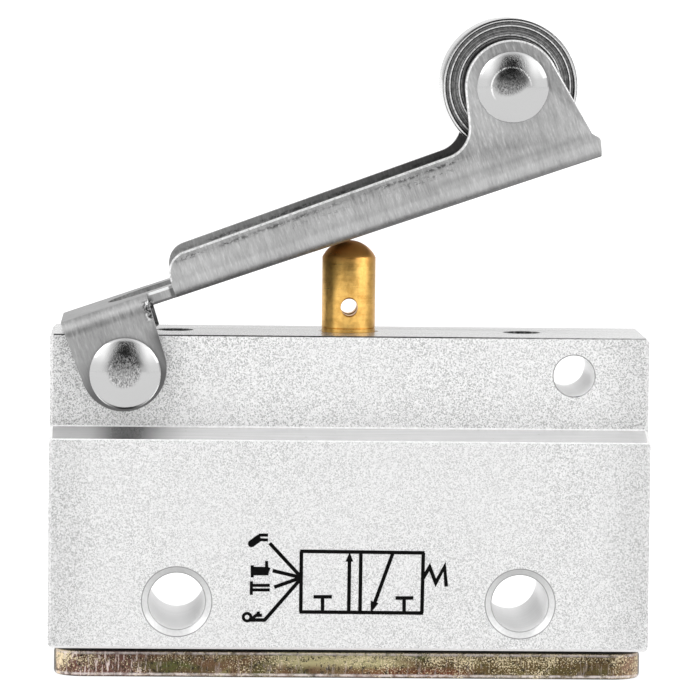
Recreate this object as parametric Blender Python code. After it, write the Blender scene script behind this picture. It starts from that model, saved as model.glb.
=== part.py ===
"""Roller lever air valve: a 3/2 poppet valve in an aluminium block.

A stamped lever with a roller pivots on a rivet through the block and pushes a brass
plunger down. The plunger seals its own exhaust hole on a rubber disc, then pushes that
disc off its seat. Lengths are in metres, +Z is up, and the origin is the middle of the
underside of the bottom plate. The front of the valve looks along -Y.
"""
import math

import bmesh
import bpy
from mathutils import Matrix, Vector

# Gaps between pieces
SEAT_GAP = 0.0002
RUNNING_GAP = 0.0001
LEVER_GAP = 0.0003

# Block
BODY_LENGTH = 0.070
BODY_DEPTH = 0.025
BODY_HEIGHT = 0.0364
SHOULDER_DEPTH = 0.00375
SHOULDER_RISE = 0.0012
SHOULDER_CLEARANCE = 0.0019
BODY_EDGE = 0.0004

# Bottom plate and its screws
PLATE_THICKNESS = 0.0031
PLATE_INSET = 0.0007
PLATE_CORNER = 0.0035
PLATE_EDGE = 0.0004
PLATE_GAP = 0.0003
PLATE_SCREW_END_INSET = 0.0050
PLATE_SCREW_SIDE_INSET = 0.0045
PLATE_SCREW_RADIUS = 0.00145
PLATE_SCREW_LENGTH = 0.0095
PLATE_SCREW_HEAD_RADIUS = 0.0028
PLATE_SCREW_SINK = 0.0001
PLATE_SCREW_SOCKET = 0.0010
PLATE_SCREW_SOCKET_DEPTH = 0.0011

# Holes in the block: insets run from its ends
MOUNT_HOLE_INSET = 0.0150
MOUNT_HOLE_RISE = 0.00555
MOUNT_HOLE_RADIUS = 0.0033
MOUNT_HOLE_CHAMFER = 0.0008
CROSS_HOLE_INSET = 0.0088
CROSS_HOLE_DROP = 0.00445
CROSS_HOLE_RADIUS = 0.0024
TOP_HOLE_INSET = 0.0145
TOP_HOLE_RADIUS = 0.00215
TOP_HOLE_DEPTH = 0.0075
PORT_RADIUS = 0.0057
PORT_DEPTH = 0.010
SUPPLY_PORT_RISE = 0.0121
WORKING_PORT_RISE = 0.0171
PASSAGE_RADIUS = 0.0020
PASSAGE_SETBACK = 0.0030

# Stepped bore, from the underside of the block upwards
CHAMBER_RADIUS = 0.0070
CHAMBER_DEPTH = 0.0180
SPRING_BORE_RADIUS = 0.0052
TOP_WALL = 0.0032

# Seat, its sleeve and the seals that do not move
SLEEVE_WALL = 0.0009
SLEEVE_WINDOW_RADIUS = 0.0018
SEAT_THICKNESS = 0.0039
SEAT_BORE_RADIUS = 0.0026
SEAT_LIP = 0.0006
SEAT_LIP_HEIGHT = 0.0005
GROOVE_HEIGHT = 0.0017
GROOVE_DEPTH = 0.0011
COVER_GROOVE_WALL = 0.0008
COVER_RING_WIDTH = 0.0014
COVER_RING_HEIGHT = 0.0013

# Poppet
POPPET_RADIUS = 0.0050
POPPET_HEIGHT = 0.0036
POPPET_LIFT_GAP = 0.0002
POPPET_SPIGOT_RADIUS = 0.0024
POPPET_SPIGOT_LENGTH = 0.0022
SEAL_RADIUS = 0.0038
SEAL_THICKNESS = 0.0018
SEAL_PROUD = 0.0004

# Plunger
PLUNGER_RADIUS = 0.00315
PLUNGER_DOME_HEIGHT = 0.0020
PLUNGER_HOLE_RISE = 0.0030
PLUNGER_HOLE_RADIUS = 0.0010
PLUNGER_CORE_RADIUS = 0.0012
STEM_RADIUS = 0.0020
FLANGE_RADIUS = 0.0046
FLANGE_THICKNESS = 0.0017
EXHAUST_LIFT = 0.0010
GUIDE_HEIGHT = 0.0038
GUIDE_RING_HEIGHT = 0.0018

# Springs
PLUNGER_SPRING_RADIUS = 0.0033
PLUNGER_SPRING_WIRE = 0.00035
PLUNGER_SPRING_TURNS = 4
POPPET_SPRING_RADIUS = 0.0034
POPPET_SPRING_WIRE = 0.0004
POPPET_SPRING_TURNS = 5

# Lever: lengths run from the pivot along the lever, heights from the web's underside
LEVER_ANGLE = math.radians(18.9)
SHEET = 0.0015
BEND_RADIUS = 0.0021
CHEEK_CLEARANCE = 0.0002
PIVOT_BELOW_WEB = 0.0064
BRACKET_REAR = 0.0053
BRACKET_FRONT = 0.0052
BRACKET_END_RADIUS = 0.0050
BRACKET_END_RISE = 0.0006
WEB_REAR_ROUND = 0.0010
CHANNEL_START = 0.0084
CHEEK_HEIGHT_REAR = 0.0049
CHEEK_HEIGHT_FRONT = 0.00565
CHEEK_CORNER = 0.0025
EAR_RADIUS = 0.0055
EAR_FOOT_REACH = 0.0096
EAR_FOOT_RADIUS = 0.0035
EAR_LEAN = math.radians(10.5)
TOE_REACH = 0.0606
TOE_LEAN = 0.0004
TOE_HEIGHT = 0.0019
TOE_ROUND = 0.0008
WINDOW_WIDTH = 0.0090
WINDOW_START = 0.0004
WINDOW_END = 0.0083
NECK_RELIEF = 0.0002

# Rivets and roller
RIVET_RADIUS = 0.0023
RIVET_HEAD_RADIUS = 0.00415
RIVET_HEAD_HEIGHT = 0.0017
RIVET_HEAD_RIM = 0.0004
ROLLER_ALONG = 0.0532
ROLLER_ABOVE = 0.0110
ROLLER_RADIUS = 0.0079
ROLLER_WIDTH = 0.0100
ROLLER_EDGE = 0.00015
ROLLER_RIM = 0.00045
ROLLER_GROOVE = 0.00035
ROLLER_GROOVE_DEPTH = 0.0004
ROLLER_BAND = 0.0012
ROLLER_RECESS = 0.0007
ROLLER_RECESS_DEPTH = 0.0006
ROLLER_BUSH_WALL = 0.0009
SPACER_WALL = 0.0017

# Facets
SMALL_STEPS = 16
ROUND_STEPS = 24
LARGE_STEPS = 36
ARC_STEP = math.radians(18)

# Places worked out from the sizes above
BODY_BASE = PLATE_THICKNESS + PLATE_GAP
BODY_TOP = BODY_BASE + BODY_HEIGHT
UPPER_DEPTH = BODY_DEPTH - 2 * SHOULDER_DEPTH
CROSS_HOLE_X = BODY_LENGTH / 2 - CROSS_HOLE_INSET
MOUNT_HOLE_X = BODY_LENGTH / 2 - MOUNT_HOLE_INSET
TOP_HOLE_X = BODY_LENGTH / 2 - TOP_HOLE_INSET
BELOW_PIVOT = max(RIVET_HEAD_RADIUS, BRACKET_END_RADIUS - BRACKET_END_RISE)
SHOULDER_INNER = BODY_TOP - CROSS_HOLE_DROP - BELOW_PIVOT - SHOULDER_CLEARANCE
SHOULDER_OUTER = SHOULDER_INNER - SHOULDER_RISE
CHAMBER_TOP = BODY_BASE + CHAMBER_DEPTH
SPRING_BORE_TOP = BODY_TOP - TOP_WALL
PLUNGER_BORE_RADIUS = PLUNGER_RADIUS + RUNNING_GAP
SEAT_TOP = CHAMBER_TOP - SEAT_GAP
SEAT_BASE = SEAT_TOP - SEAT_THICKNESS
SEAT_RADIUS = CHAMBER_RADIUS - SEAT_GAP
SLEEVE_TOP = SEAT_BASE - SEAT_GAP
SLEEVE_INNER_RADIUS = SEAT_RADIUS - SLEEVE_WALL
SEAL_TOP = SEAT_BASE - SEAT_LIP_HEIGHT - POPPET_LIFT_GAP
POPPET_TOP = SEAL_TOP - SEAL_PROUD
POPPET_BASE = POPPET_TOP - POPPET_HEIGHT
STEM_END = SEAL_TOP + EXHAUST_LIFT
GUIDE_RING_TOP = SPRING_BORE_TOP - SEAT_GAP
GUIDE_TOP = GUIDE_RING_TOP - GUIDE_RING_HEIGHT - SEAT_GAP
GUIDE_BASE = GUIDE_TOP - GUIDE_HEIGHT
FLANGE_TOP = GUIDE_BASE - SEAT_GAP
FLANGE_BASE = FLANGE_TOP - FLANGE_THICKNESS
SUPPLY_PASSAGE_Z = SLEEVE_TOP - SLEEVE_WINDOW_RADIUS - SEAT_GAP
WORKING_PASSAGE_Z = CHAMBER_TOP + PASSAGE_RADIUS + SEAT_GAP

LEVER_INNER = UPPER_DEPTH / 2 + CHEEK_CLEARANCE
LEVER_OUTER = LEVER_INNER + SHEET
PIVOT = Vector((-CROSS_HOLE_X, 0, BODY_TOP - CROSS_HOLE_DROP))
LEVER_TURN = Matrix.Rotation(-LEVER_ANGLE, 4, 'Y')
ROLLER_CENTRE = Vector((ROLLER_ALONG, 0, ROLLER_ABOVE + PIVOT_BELOW_WEB))

DOME_SPHERE = (PLUNGER_RADIUS ** 2 + PLUNGER_DOME_HEIGHT ** 2) / (2 * PLUNGER_DOME_HEIGHT)
WEB_HEIGHT_AT_PLUNGER = (PIVOT.z + CROSS_HOLE_X * math.tan(LEVER_ANGLE)
                         + PIVOT_BELOW_WEB / math.cos(LEVER_ANGLE))
PLUNGER_TOP = WEB_HEIGHT_AT_PLUNGER - (DOME_SPHERE + LEVER_GAP) / math.cos(LEVER_ANGLE) + DOME_SPHERE


def clear_scene():
    for obj in list(bpy.data.objects):
        bpy.data.objects.remove(obj, do_unlink=True)


def make_material(name, colour, metallic, roughness):
    material = bpy.data.materials.new(name)
    material.use_nodes = True
    shader = material.node_tree.nodes['Principled BSDF']
    shader.inputs['Base Color'].default_value = (*colour, 1)
    shader.inputs['Metallic'].default_value = metallic
    shader.inputs['Roughness'].default_value = roughness
    return material


def finish_mesh(mesh_builder, name):
    """Turn a bmesh into a mesh with its faces pointing out."""
    bmesh.ops.remove_doubles(mesh_builder, verts=mesh_builder.verts, dist=1e-7)
    bmesh.ops.recalc_face_normals(mesh_builder, faces=mesh_builder.faces)
    mesh = bpy.data.meshes.new(name)
    mesh_builder.to_mesh(mesh)
    mesh_builder.free()
    return mesh


def add_piece(name, mesh, material, parent=None, location=(0, 0, 0)):
    obj = bpy.data.objects.new(name, mesh)
    bpy.context.scene.collection.objects.link(obj)
    obj.parent = parent
    obj.location = location
    if material and not mesh.materials:
        mesh.materials.append(material)
    return obj


def add_cutter(name, mesh, parent=None):
    cutter = add_piece(name, mesh, None, parent)
    cutter.hide_render = True
    cutter.display_type = 'WIRE'
    return cutter


def combine(obj, other, operation):
    modifier = obj.modifiers.new(operation.title() + ' ' + other.name, 'BOOLEAN')
    modifier.operation = operation
    modifier.solver = 'EXACT'
    modifier.object = other


def shade_round(obj):
    obj.data.shade_smooth()
    obj.data.set_sharp_from_angle(angle=math.radians(32))


def arc(centre, radius, start, end):
    """Points on an arc in a plane, both ends included."""
    steps = max(2, math.ceil(abs(end - start) / ARC_STEP))
    angles = [start + (end - start) * i / steps for i in range(steps + 1)]
    return [(centre[0] + radius * math.cos(a), centre[1] + radius * math.sin(a)) for a in angles]


def rounded_rectangle(half_x, half_y, radius):
    corners = [(half_x, half_y, 0), (-half_x, half_y, 1), (-half_x, -half_y, 2), (half_x, -half_y, 3)]
    outline = []
    for x, y, quarter in corners:
        centre = (x - math.copysign(radius, x), y - math.copysign(radius, y))
        start = quarter * math.pi / 2
        outline += arc(centre, radius, start, start + math.pi / 2)
    return outline


def prism(name, outline, low, high, place):
    """Extrude an outline from low to high. place(a, b, depth) gives a point in space."""
    builder = bmesh.new()
    ends = [[builder.verts.new(place(a, b, depth)) for a, b in outline] for depth in (low, high)]
    builder.faces.new(ends[0])
    builder.faces.new(ends[1])
    count = len(outline)
    for i in range(count):
        j = (i + 1) % count
        builder.faces.new((ends[0][i], ends[0][j], ends[1][j], ends[1][i]))
    return finish_mesh(builder, name)


def across(a, b, depth):
    """Side view: a along X, b up, extruded along Y."""
    return (a, depth, b)


def endways(a, b, depth):
    """End view: a along Y, b up, extruded along X."""
    return (depth, a, b)


def upright(a, b, depth):
    """Plan view: a along X, b along Y, extruded up."""
    return (a, b, depth)


def turned(name, profile, steps=ROUND_STEPS, axis='Z'):
    """Spin a closed profile of (radius, height) points about the axis."""
    builder = bmesh.new()
    rings = []
    for radius, height in profile:
        if radius < 1e-9:
            rings.append([builder.verts.new((0, 0, height))])
            continue
        ring = []
        for i in range(steps):
            angle = 2 * math.pi * i / steps
            ring.append(builder.verts.new((radius * math.cos(angle), radius * math.sin(angle), height)))
        rings.append(ring)
    count = len(rings)
    for k in range(count):
        below, above = rings[k], rings[(k + 1) % count]
        if len(below) == 1 and len(above) == 1:
            continue
        for i in range(steps):
            j = (i + 1) % steps
            corners = [below[i % len(below)], below[j % len(below)],
                       above[j % len(above)], above[i % len(above)]]
            builder.faces.new(list(dict.fromkeys(corners)))
    if axis == 'Y':
        bmesh.ops.rotate(builder, verts=builder.verts, cent=(0, 0, 0),
                         matrix=Matrix.Rotation(math.radians(-90), 3, 'X'))
    if axis == 'X':
        bmesh.ops.rotate(builder, verts=builder.verts, cent=(0, 0, 0),
                         matrix=Matrix.Rotation(math.radians(90), 3, 'Y'))
    return finish_mesh(builder, name)


def rod_cutter(name, radius, low, high, axis, centre, steps=ROUND_STEPS, parent=None):
    """A plain cylinder along an axis, used to cut a hole."""
    mesh = turned(name, [(0, low), (radius, low), (radius, high), (0, high)], steps, axis)
    cutter = add_cutter(name, mesh, parent)
    cutter.location = centre
    return cutter


def ring_mesh(name, inner, outer, low, high, steps=ROUND_STEPS, axis='Z'):
    return turned(name, [(inner, low), (outer, low), (outer, high), (inner, high)], steps, axis)


def seal_ring_mesh(name, inner, outer, low, high):
    """A rubber ring with an oval section."""
    middle = ((inner + outer) / 2, (low + high) / 2)
    half = ((outer - inner) / 2, (high - low) / 2)
    sides = 8
    profile = []
    for i in range(sides):
        angle = 2 * math.pi * i / sides
        profile.append((middle[0] + half[0] * math.cos(angle), middle[1] + half[1] * math.sin(angle)))
    return turned(name, profile)


def coil_mesh(name, radius, wire, low, high, turns):
    """A round-wire compression spring that stands between two heights."""
    builder = bmesh.new()
    per_turn = 12
    sides = 5
    count = turns * per_turn
    rise = high - low - 2 * wire
    rings = []
    for i in range(count + 1):
        angle = 2 * math.pi * i / per_turn
        outward = Vector((math.cos(angle), math.sin(angle), 0))
        along = Vector((-math.sin(angle), math.cos(angle), rise / (turns * 2 * math.pi * radius)))
        upward = along.normalized().cross(outward) * -1
        centre = outward * radius + Vector((0, 0, low + wire + rise * i / count))
        ring = []
        for k in range(sides):
            turn = 2 * math.pi * k / sides
            offset = outward * math.cos(turn) + upward * math.sin(turn)
            ring.append(builder.verts.new(centre + offset * wire))
        rings.append(ring)
    for below, above in zip(rings, rings[1:]):
        for k in range(sides):
            j = (k + 1) % sides
            builder.faces.new((below[k], below[j], above[j], above[k]))
    builder.faces.new(rings[0])
    builder.faces.new(rings[-1])
    return finish_mesh(builder, name)


def build_body(material):
    """The block, with its stepped bore, ports and through holes."""
    lower = BODY_DEPTH / 2
    upper = UPPER_DEPTH / 2
    section = [(-lower, BODY_BASE), (lower, BODY_BASE), (lower, SHOULDER_OUTER),
               (upper, SHOULDER_INNER), (upper, BODY_TOP), (-upper, BODY_TOP),
               (-upper, SHOULDER_INNER), (-lower, SHOULDER_OUTER)]
    body = add_piece('valve_body', prism('valve_body', section, -BODY_LENGTH / 2, BODY_LENGTH / 2, endways),
                     material)
    bevel = body.modifiers.new('Softened edges', 'BEVEL')
    bevel.width = BODY_EDGE
    bevel.segments = 1
    bevel.limit_method = 'ANGLE'
    bevel.angle_limit = math.radians(60)
    cutters = body_bore_cutters() + body_port_cutters() + body_cross_cutters() + body_screw_cutters()
    for cutter in cutters:
        combine(body, cutter, 'DIFFERENCE')
    shade_round(body)
    return body


def body_bore_cutters():
    """Stepped bore on the plunger's axis, with the groove for the cover's seal ring."""
    past = BODY_BASE - BODY_EDGE
    groove_inner = CHAMBER_RADIUS + COVER_GROOVE_WALL
    groove_outer = groove_inner + COVER_RING_WIDTH + 2 * SEAT_GAP
    groove_top = PLATE_THICKNESS + COVER_RING_HEIGHT + 2 * SEAT_GAP
    bore = turned('bore_cutter', [
        (0, past), (CHAMBER_RADIUS, past), (CHAMBER_RADIUS, CHAMBER_TOP),
        (SPRING_BORE_RADIUS, CHAMBER_TOP), (SPRING_BORE_RADIUS, SPRING_BORE_TOP),
        (PLUNGER_BORE_RADIUS, SPRING_BORE_TOP), (PLUNGER_BORE_RADIUS, BODY_TOP - RUNNING_GAP),
        (PLUNGER_BORE_RADIUS + 3 * RUNNING_GAP, BODY_TOP + 2 * RUNNING_GAP),
        (0, BODY_TOP + 2 * RUNNING_GAP)], LARGE_STEPS)
    groove = ring_mesh('cover_groove_cutter', groove_inner, groove_outer, past, groove_top, LARGE_STEPS)
    return [add_cutter('bore_cutter', bore), add_cutter('cover_groove_cutter', groove)]


def body_port_cutters():
    """The supply port on the left end and the working port on the right end."""
    cutters = []
    ports = [('supply', -1, BODY_BASE + SUPPLY_PORT_RISE, SUPPLY_PASSAGE_Z),
             ('working', 1, BODY_BASE + WORKING_PORT_RISE, WORKING_PASSAGE_Z)]
    face = BODY_LENGTH / 2
    for name, side, port_z, passage_z in ports:
        outer = face + BODY_EDGE
        inner = face - PORT_DEPTH
        cutters.append(rod_cutter(name + '_port_cutter', PORT_RADIUS, min(side * inner, side * outer),
                                  max(side * inner, side * outer), 'X', (0, 0, port_z)))
        middle = CHAMBER_RADIUS - PASSAGE_SETBACK
        mouth = inner + PASSAGE_SETBACK
        cutters.append(rod_cutter(name + '_passage_cutter', PASSAGE_RADIUS, min(side * middle, side * mouth),
                                  max(side * middle, side * mouth), 'X', (0, 0, passage_z), SMALL_STEPS))
    return cutters


def body_cross_cutters():
    """Mounting holes with countersunk mouths, the pivot hole, its twin and the tapped top holes."""
    cutters = []
    half = BODY_DEPTH / 2
    past = half + BODY_EDGE
    wide = MOUNT_HOLE_RADIUS + MOUNT_HOLE_CHAMFER
    mount = turned('mount_hole_cutter', [
        (0, -past), (wide + BODY_EDGE, -past), (MOUNT_HOLE_RADIUS, -half + MOUNT_HOLE_CHAMFER),
        (MOUNT_HOLE_RADIUS, half - MOUNT_HOLE_CHAMFER), (wide + BODY_EDGE, past), (0, past)],
        ROUND_STEPS, 'Y')
    for side in (-1, 1):
        label = 'left' if side < 0 else 'right'
        cutter = add_cutter(label + '_mount_hole_cutter', mount)
        cutter.location = (side * MOUNT_HOLE_X, 0, BODY_BASE + MOUNT_HOLE_RISE)
        cutters.append(cutter)
        cutters.append(rod_cutter(label + '_cross_hole_cutter', CROSS_HOLE_RADIUS, -half, half, 'Y',
                                  (side * CROSS_HOLE_X, 0, PIVOT.z)))
        cutters.append(rod_cutter(label + '_top_hole_cutter', TOP_HOLE_RADIUS, -TOP_HOLE_DEPTH, BODY_EDGE,
                                  'Z', (side * TOP_HOLE_X, 0, BODY_TOP), SMALL_STEPS))
    return cutters


def screw_places():
    x = BODY_LENGTH / 2 - PLATE_SCREW_END_INSET
    y = BODY_DEPTH / 2 - PLATE_SCREW_SIDE_INSET
    return [(-x, -y), (-x, y), (x, -y), (x, y)]


def body_screw_cutters():
    depth = PLATE_SCREW_LENGTH + SEAT_GAP + PLATE_SCREW_SINK
    radius = PLATE_SCREW_RADIUS + SEAT_GAP
    return [rod_cutter('plate_screw_hole_cutter', radius, BODY_BASE - BODY_EDGE, depth, 'Z', (x, y, 0),
                       SMALL_STEPS)
            for x, y in screw_places()]


def build_plate(material):
    """Zinc plated cover under the block, with countersunk holes for its four screws."""
    outline = rounded_rectangle(BODY_LENGTH / 2 - PLATE_INSET, BODY_DEPTH / 2 - PLATE_INSET, PLATE_CORNER)
    plate = add_piece('bottom_plate', prism('bottom_plate', outline, 0, PLATE_THICKNESS, upright), material)
    bevel = plate.modifiers.new('Softened edges', 'BEVEL')
    bevel.width = PLATE_EDGE
    bevel.segments = 1
    bevel.limit_method = 'ANGLE'
    bevel.angle_limit = math.radians(60)
    hole = PLATE_SCREW_RADIUS + SEAT_GAP
    head = PLATE_SCREW_HEAD_RADIUS + SEAT_GAP + PLATE_SCREW_SINK
    below = -PLATE_EDGE
    sink = turned('countersink_cutter', [
        (0, below), (head - below, below), (hole, head - hole),
        (hole, PLATE_THICKNESS + PLATE_EDGE), (0, PLATE_THICKNESS + PLATE_EDGE)], SMALL_STEPS)
    for x, y in screw_places():
        cutter = add_cutter('countersink_cutter', sink)
        cutter.location = (x, y, 0)
        combine(plate, cutter, 'DIFFERENCE')
    shade_round(plate)
    return plate


def build_plate_screws(material):
    """Countersunk socket screws that hold the plate to the block."""
    neck = PLATE_SCREW_HEAD_RADIUS - PLATE_SCREW_RADIUS
    low = PLATE_SCREW_SINK
    tip = low + PLATE_SCREW_LENGTH
    point = PLATE_SCREW_RADIUS / 3
    mesh = turned('plate_screw', [
        (0, low), (PLATE_SCREW_HEAD_RADIUS, low), (PLATE_SCREW_RADIUS, low + neck),
        (PLATE_SCREW_RADIUS, tip - point), (PLATE_SCREW_RADIUS - point, tip), (0, tip)], SMALL_STEPS)
    hexagon = [(PLATE_SCREW_SOCKET * math.cos(math.radians(60 * i)),
                PLATE_SCREW_SOCKET * math.sin(math.radians(60 * i))) for i in range(6)]
    socket = prism('socket_cutter', hexagon, -low, low + PLATE_SCREW_SOCKET_DEPTH, upright)
    for number, (x, y) in enumerate(screw_places(), 1):
        screw = add_piece('plate_screw_%d' % number, mesh, material, location=(x, y, 0))
        cutter = add_cutter('socket_cutter', socket)
        cutter.location = (x, y, 0)
        combine(screw, cutter, 'DIFFERENCE')
    shade_round(screw)


def build_seat(metal, rubber):
    """Seat insert with its seal ring, standing on a windowed sleeve."""
    middle = (SEAT_BASE + SEAT_TOP) / 2
    groove_low = middle - GROOVE_HEIGHT / 2
    groove_high = middle + GROOVE_HEIGHT / 2
    floor = SEAT_RADIUS - GROOVE_DEPTH
    lip = SEAT_BORE_RADIUS + SEAT_LIP
    seat = add_piece('seat_insert', turned('seat_insert', [
        (SEAT_BORE_RADIUS, SEAT_BASE - SEAT_LIP_HEIGHT), (lip, SEAT_BASE - SEAT_LIP_HEIGHT),
        (lip, SEAT_BASE), (SEAT_RADIUS, SEAT_BASE), (SEAT_RADIUS, groove_low), (floor, groove_low),
        (floor, groove_high), (SEAT_RADIUS, groove_high), (SEAT_RADIUS, SEAT_TOP),
        (SEAT_BORE_RADIUS, SEAT_TOP)]), metal)
    ring = add_piece('seat_oring', seal_ring_mesh(
        'seat_oring', floor + SEAT_GAP, CHAMBER_RADIUS - RUNNING_GAP,
        groove_low + SEAT_GAP, groove_high - SEAT_GAP), rubber)
    sleeve = add_piece('seat_sleeve', ring_mesh(
        'seat_sleeve', SLEEVE_INNER_RADIUS, SEAT_RADIUS, PLATE_THICKNESS + SEAT_GAP, SLEEVE_TOP), metal)
    for axis in ('X', 'Y'):
        combine(sleeve, rod_cutter('sleeve_window_cutter_' + axis, SLEEVE_WINDOW_RADIUS, -CHAMBER_RADIUS,
                                   CHAMBER_RADIUS, axis, (0, 0, SUPPLY_PASSAGE_Z), SMALL_STEPS), 'DIFFERENCE')
    for piece in (seat, ring, sleeve):
        shade_round(piece)


def build_cover_ring(rubber):
    """Seal ring in the groove between the block and the plate."""
    inner = CHAMBER_RADIUS + COVER_GROOVE_WALL + SEAT_GAP
    low = PLATE_THICKNESS + SEAT_GAP
    ring = add_piece('cover_oring', seal_ring_mesh(
        'cover_oring', inner, inner + COVER_RING_WIDTH, low, low + COVER_RING_HEIGHT), rubber)
    shade_round(ring)


def build_poppet(metal, rubber):
    """Sprung disc with a rubber face that closes the seat from below."""
    slide = bpy.data.objects.new('poppet_axis', None)
    bpy.context.scene.collection.objects.link(slide)
    slide.location = (0, 0, POPPET_BASE)
    pocket = SEAL_RADIUS + SEAT_GAP
    floor = SEAL_TOP - SEAL_THICKNESS - SEAT_GAP - POPPET_BASE
    poppet = add_piece('poppet', turned('poppet', [
        (0, -POPPET_SPIGOT_LENGTH), (POPPET_SPIGOT_RADIUS, -POPPET_SPIGOT_LENGTH),
        (POPPET_SPIGOT_RADIUS, 0), (POPPET_RADIUS, 0), (POPPET_RADIUS, POPPET_HEIGHT),
        (pocket, POPPET_HEIGHT), (pocket, floor), (0, floor)]), metal, slide)
    seal_base = SEAL_TOP - SEAL_THICKNESS - POPPET_BASE
    seal = add_piece('poppet_seal', turned('poppet_seal', [
        (0, seal_base), (SEAL_RADIUS, seal_base), (SEAL_RADIUS, seal_base + SEAL_THICKNESS),
        (0, seal_base + SEAL_THICKNESS)]), rubber, slide)
    for piece in (poppet, seal):
        shade_round(piece)


def build_plunger(metal):
    """Hollow plunger: domed end, exhaust hole through it, flange and stem."""
    slide = bpy.data.objects.new('plunger_axis', None)
    bpy.context.scene.collection.objects.link(slide)
    slide.location = (0, 0, STEM_END)
    top = PLUNGER_TOP - STEM_END
    flange_low = FLANGE_BASE - STEM_END
    flange_high = FLANGE_TOP - STEM_END
    hole = BODY_TOP + PLUNGER_HOLE_RISE - STEM_END
    profile = [(PLUNGER_CORE_RADIUS, 0), (STEM_RADIUS, 0), (STEM_RADIUS, flange_low),
               (FLANGE_RADIUS, flange_low), (FLANGE_RADIUS, flange_high), (PLUNGER_RADIUS, flange_high)]
    edge = math.asin(PLUNGER_RADIUS / DOME_SPHERE)
    steps = 5
    for i in range(steps):
        angle = edge * (1 - i / steps)
        profile.append((DOME_SPHERE * math.sin(angle), top - DOME_SPHERE + DOME_SPHERE * math.cos(angle)))
    profile += [(0, top), (0, hole), (PLUNGER_CORE_RADIUS, hole)]
    plunger = add_piece('plunger', turned('plunger', profile), metal, slide)
    combine(plunger, rod_cutter('exhaust_hole_cutter', PLUNGER_HOLE_RADIUS, -FLANGE_RADIUS, FLANGE_RADIUS,
                                'Y', (0, 0, hole), SMALL_STEPS, slide), 'DIFFERENCE')
    shade_round(plunger)


def build_guide(metal, rubber):
    """Guide bush for the plunger, with the seal ring above it."""
    outer = SPRING_BORE_RADIUS - SEAT_GAP
    bush = add_piece('guide_bush', ring_mesh('guide_bush', PLUNGER_BORE_RADIUS, outer, GUIDE_BASE, GUIDE_TOP),
                     metal)
    ring = add_piece('plunger_oring', seal_ring_mesh(
        'plunger_oring', PLUNGER_BORE_RADIUS, outer, GUIDE_TOP + SEAT_GAP, GUIDE_RING_TOP), rubber)
    for piece in (bush, ring):
        shade_round(piece)


def build_springs(material):
    plunger_spring = add_piece('plunger_spring', coil_mesh(
        'plunger_spring', PLUNGER_SPRING_RADIUS, PLUNGER_SPRING_WIRE,
        SEAT_TOP + SEAT_GAP, FLANGE_BASE - SEAT_GAP, PLUNGER_SPRING_TURNS), material)
    poppet_spring = add_piece('poppet_spring', coil_mesh(
        'poppet_spring', POPPET_SPRING_RADIUS, POPPET_SPRING_WIRE,
        PLATE_THICKNESS + SEAT_GAP, POPPET_BASE - SEAT_GAP, POPPET_SPRING_TURNS), material)
    for spring in (plunger_spring, poppet_spring):
        shade_round(spring)


def lever_point(along, above):
    """A point of the lever's side view, measured from the pivot."""
    return (along, above + PIVOT_BELOW_WEB)


def channel_section(upward):
    """Half-width section of the bent sheet as (across, height) points."""
    inner_bend = BEND_RADIUS - SHEET
    reach = ROLLER_ABOVE + EAR_RADIUS + SHEET
    centre = LEVER_OUTER - BEND_RADIUS
    outer_side = arc((centre, BEND_RADIUS), BEND_RADIUS, -math.pi / 2, 0)
    inner_side = arc((centre, BEND_RADIUS), inner_bend, 0, -math.pi / 2)
    right = outer_side + [(LEVER_OUTER, reach), (LEVER_INNER, reach)] + inner_side
    left = [(-a, b) for a, b in reversed(right)]
    section = right + left
    if upward:
        return [(a, b + PIVOT_BELOW_WEB) for a, b in section]
    return [(a, SHEET - b + PIVOT_BELOW_WEB) for a, b in section]


def front_outline():
    """Side view of the front channel with its roller ear."""
    ear = Vector((ROLLER_ALONG, ROLLER_ABOVE))
    foot = Vector((ROLLER_ALONG - EAR_FOOT_REACH, CHEEK_HEIGHT_FRONT + EAR_FOOT_RADIUS))
    span = ear - foot
    lean = math.atan2(span.y, span.x) - math.acos((EAR_RADIUS + EAR_FOOT_RADIUS) / span.length)
    side = Vector((math.cos(EAR_LEAN), math.sin(EAR_LEAN)))
    tangent = ear + side * EAR_RADIUS
    toe = (TOE_REACH + TOE_LEAN - TOE_ROUND, TOE_HEIGHT)
    heel_height = TOE_HEIGHT + 1.4 * TOE_ROUND
    heel = tangent.x + (tangent.y - heel_height) * math.tan(EAR_LEAN)
    corner = (CHANNEL_START + CHEEK_CORNER, CHEEK_HEIGHT_REAR - CHEEK_CORNER)
    points = [(CHANNEL_START, 0), (TOE_REACH, 0)]
    points += arc(toe, TOE_ROUND, 0, math.pi / 3)
    points += [(heel, heel_height)]
    points += arc(ear, EAR_RADIUS, EAR_LEAN, lean + math.pi)
    points += arc(foot, EAR_FOOT_RADIUS, lean, -math.pi / 2)
    points += arc(corner, CHEEK_CORNER, math.pi / 2, math.pi)
    return [lever_point(a, b) for a, b in points]


def rear_outline():
    """Side view of the rear bracket that straddles the block."""
    points = [(BRACKET_FRONT, SHEET), (-BRACKET_REAR, SHEET)]
    points += arc((0, BRACKET_END_RISE - PIVOT_BELOW_WEB), BRACKET_END_RADIUS, math.pi, 2 * math.pi)
    return [lever_point(a, b) for a, b in points]


def rear_stop_outline():
    """What is cut from the web's lower rear edge, so that it rolls onto the block."""
    centre = (-BRACKET_REAR + WEB_REAR_ROUND, WEB_REAR_ROUND)
    past = -BRACKET_REAR - WEB_REAR_ROUND
    points = [(past, WEB_REAR_ROUND), (past, -WEB_REAR_ROUND), (centre[0], -WEB_REAR_ROUND)]
    points += arc(centre, WEB_REAR_ROUND, -math.pi / 2, -math.pi)
    return [lever_point(a, b) for a, b in points]


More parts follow.
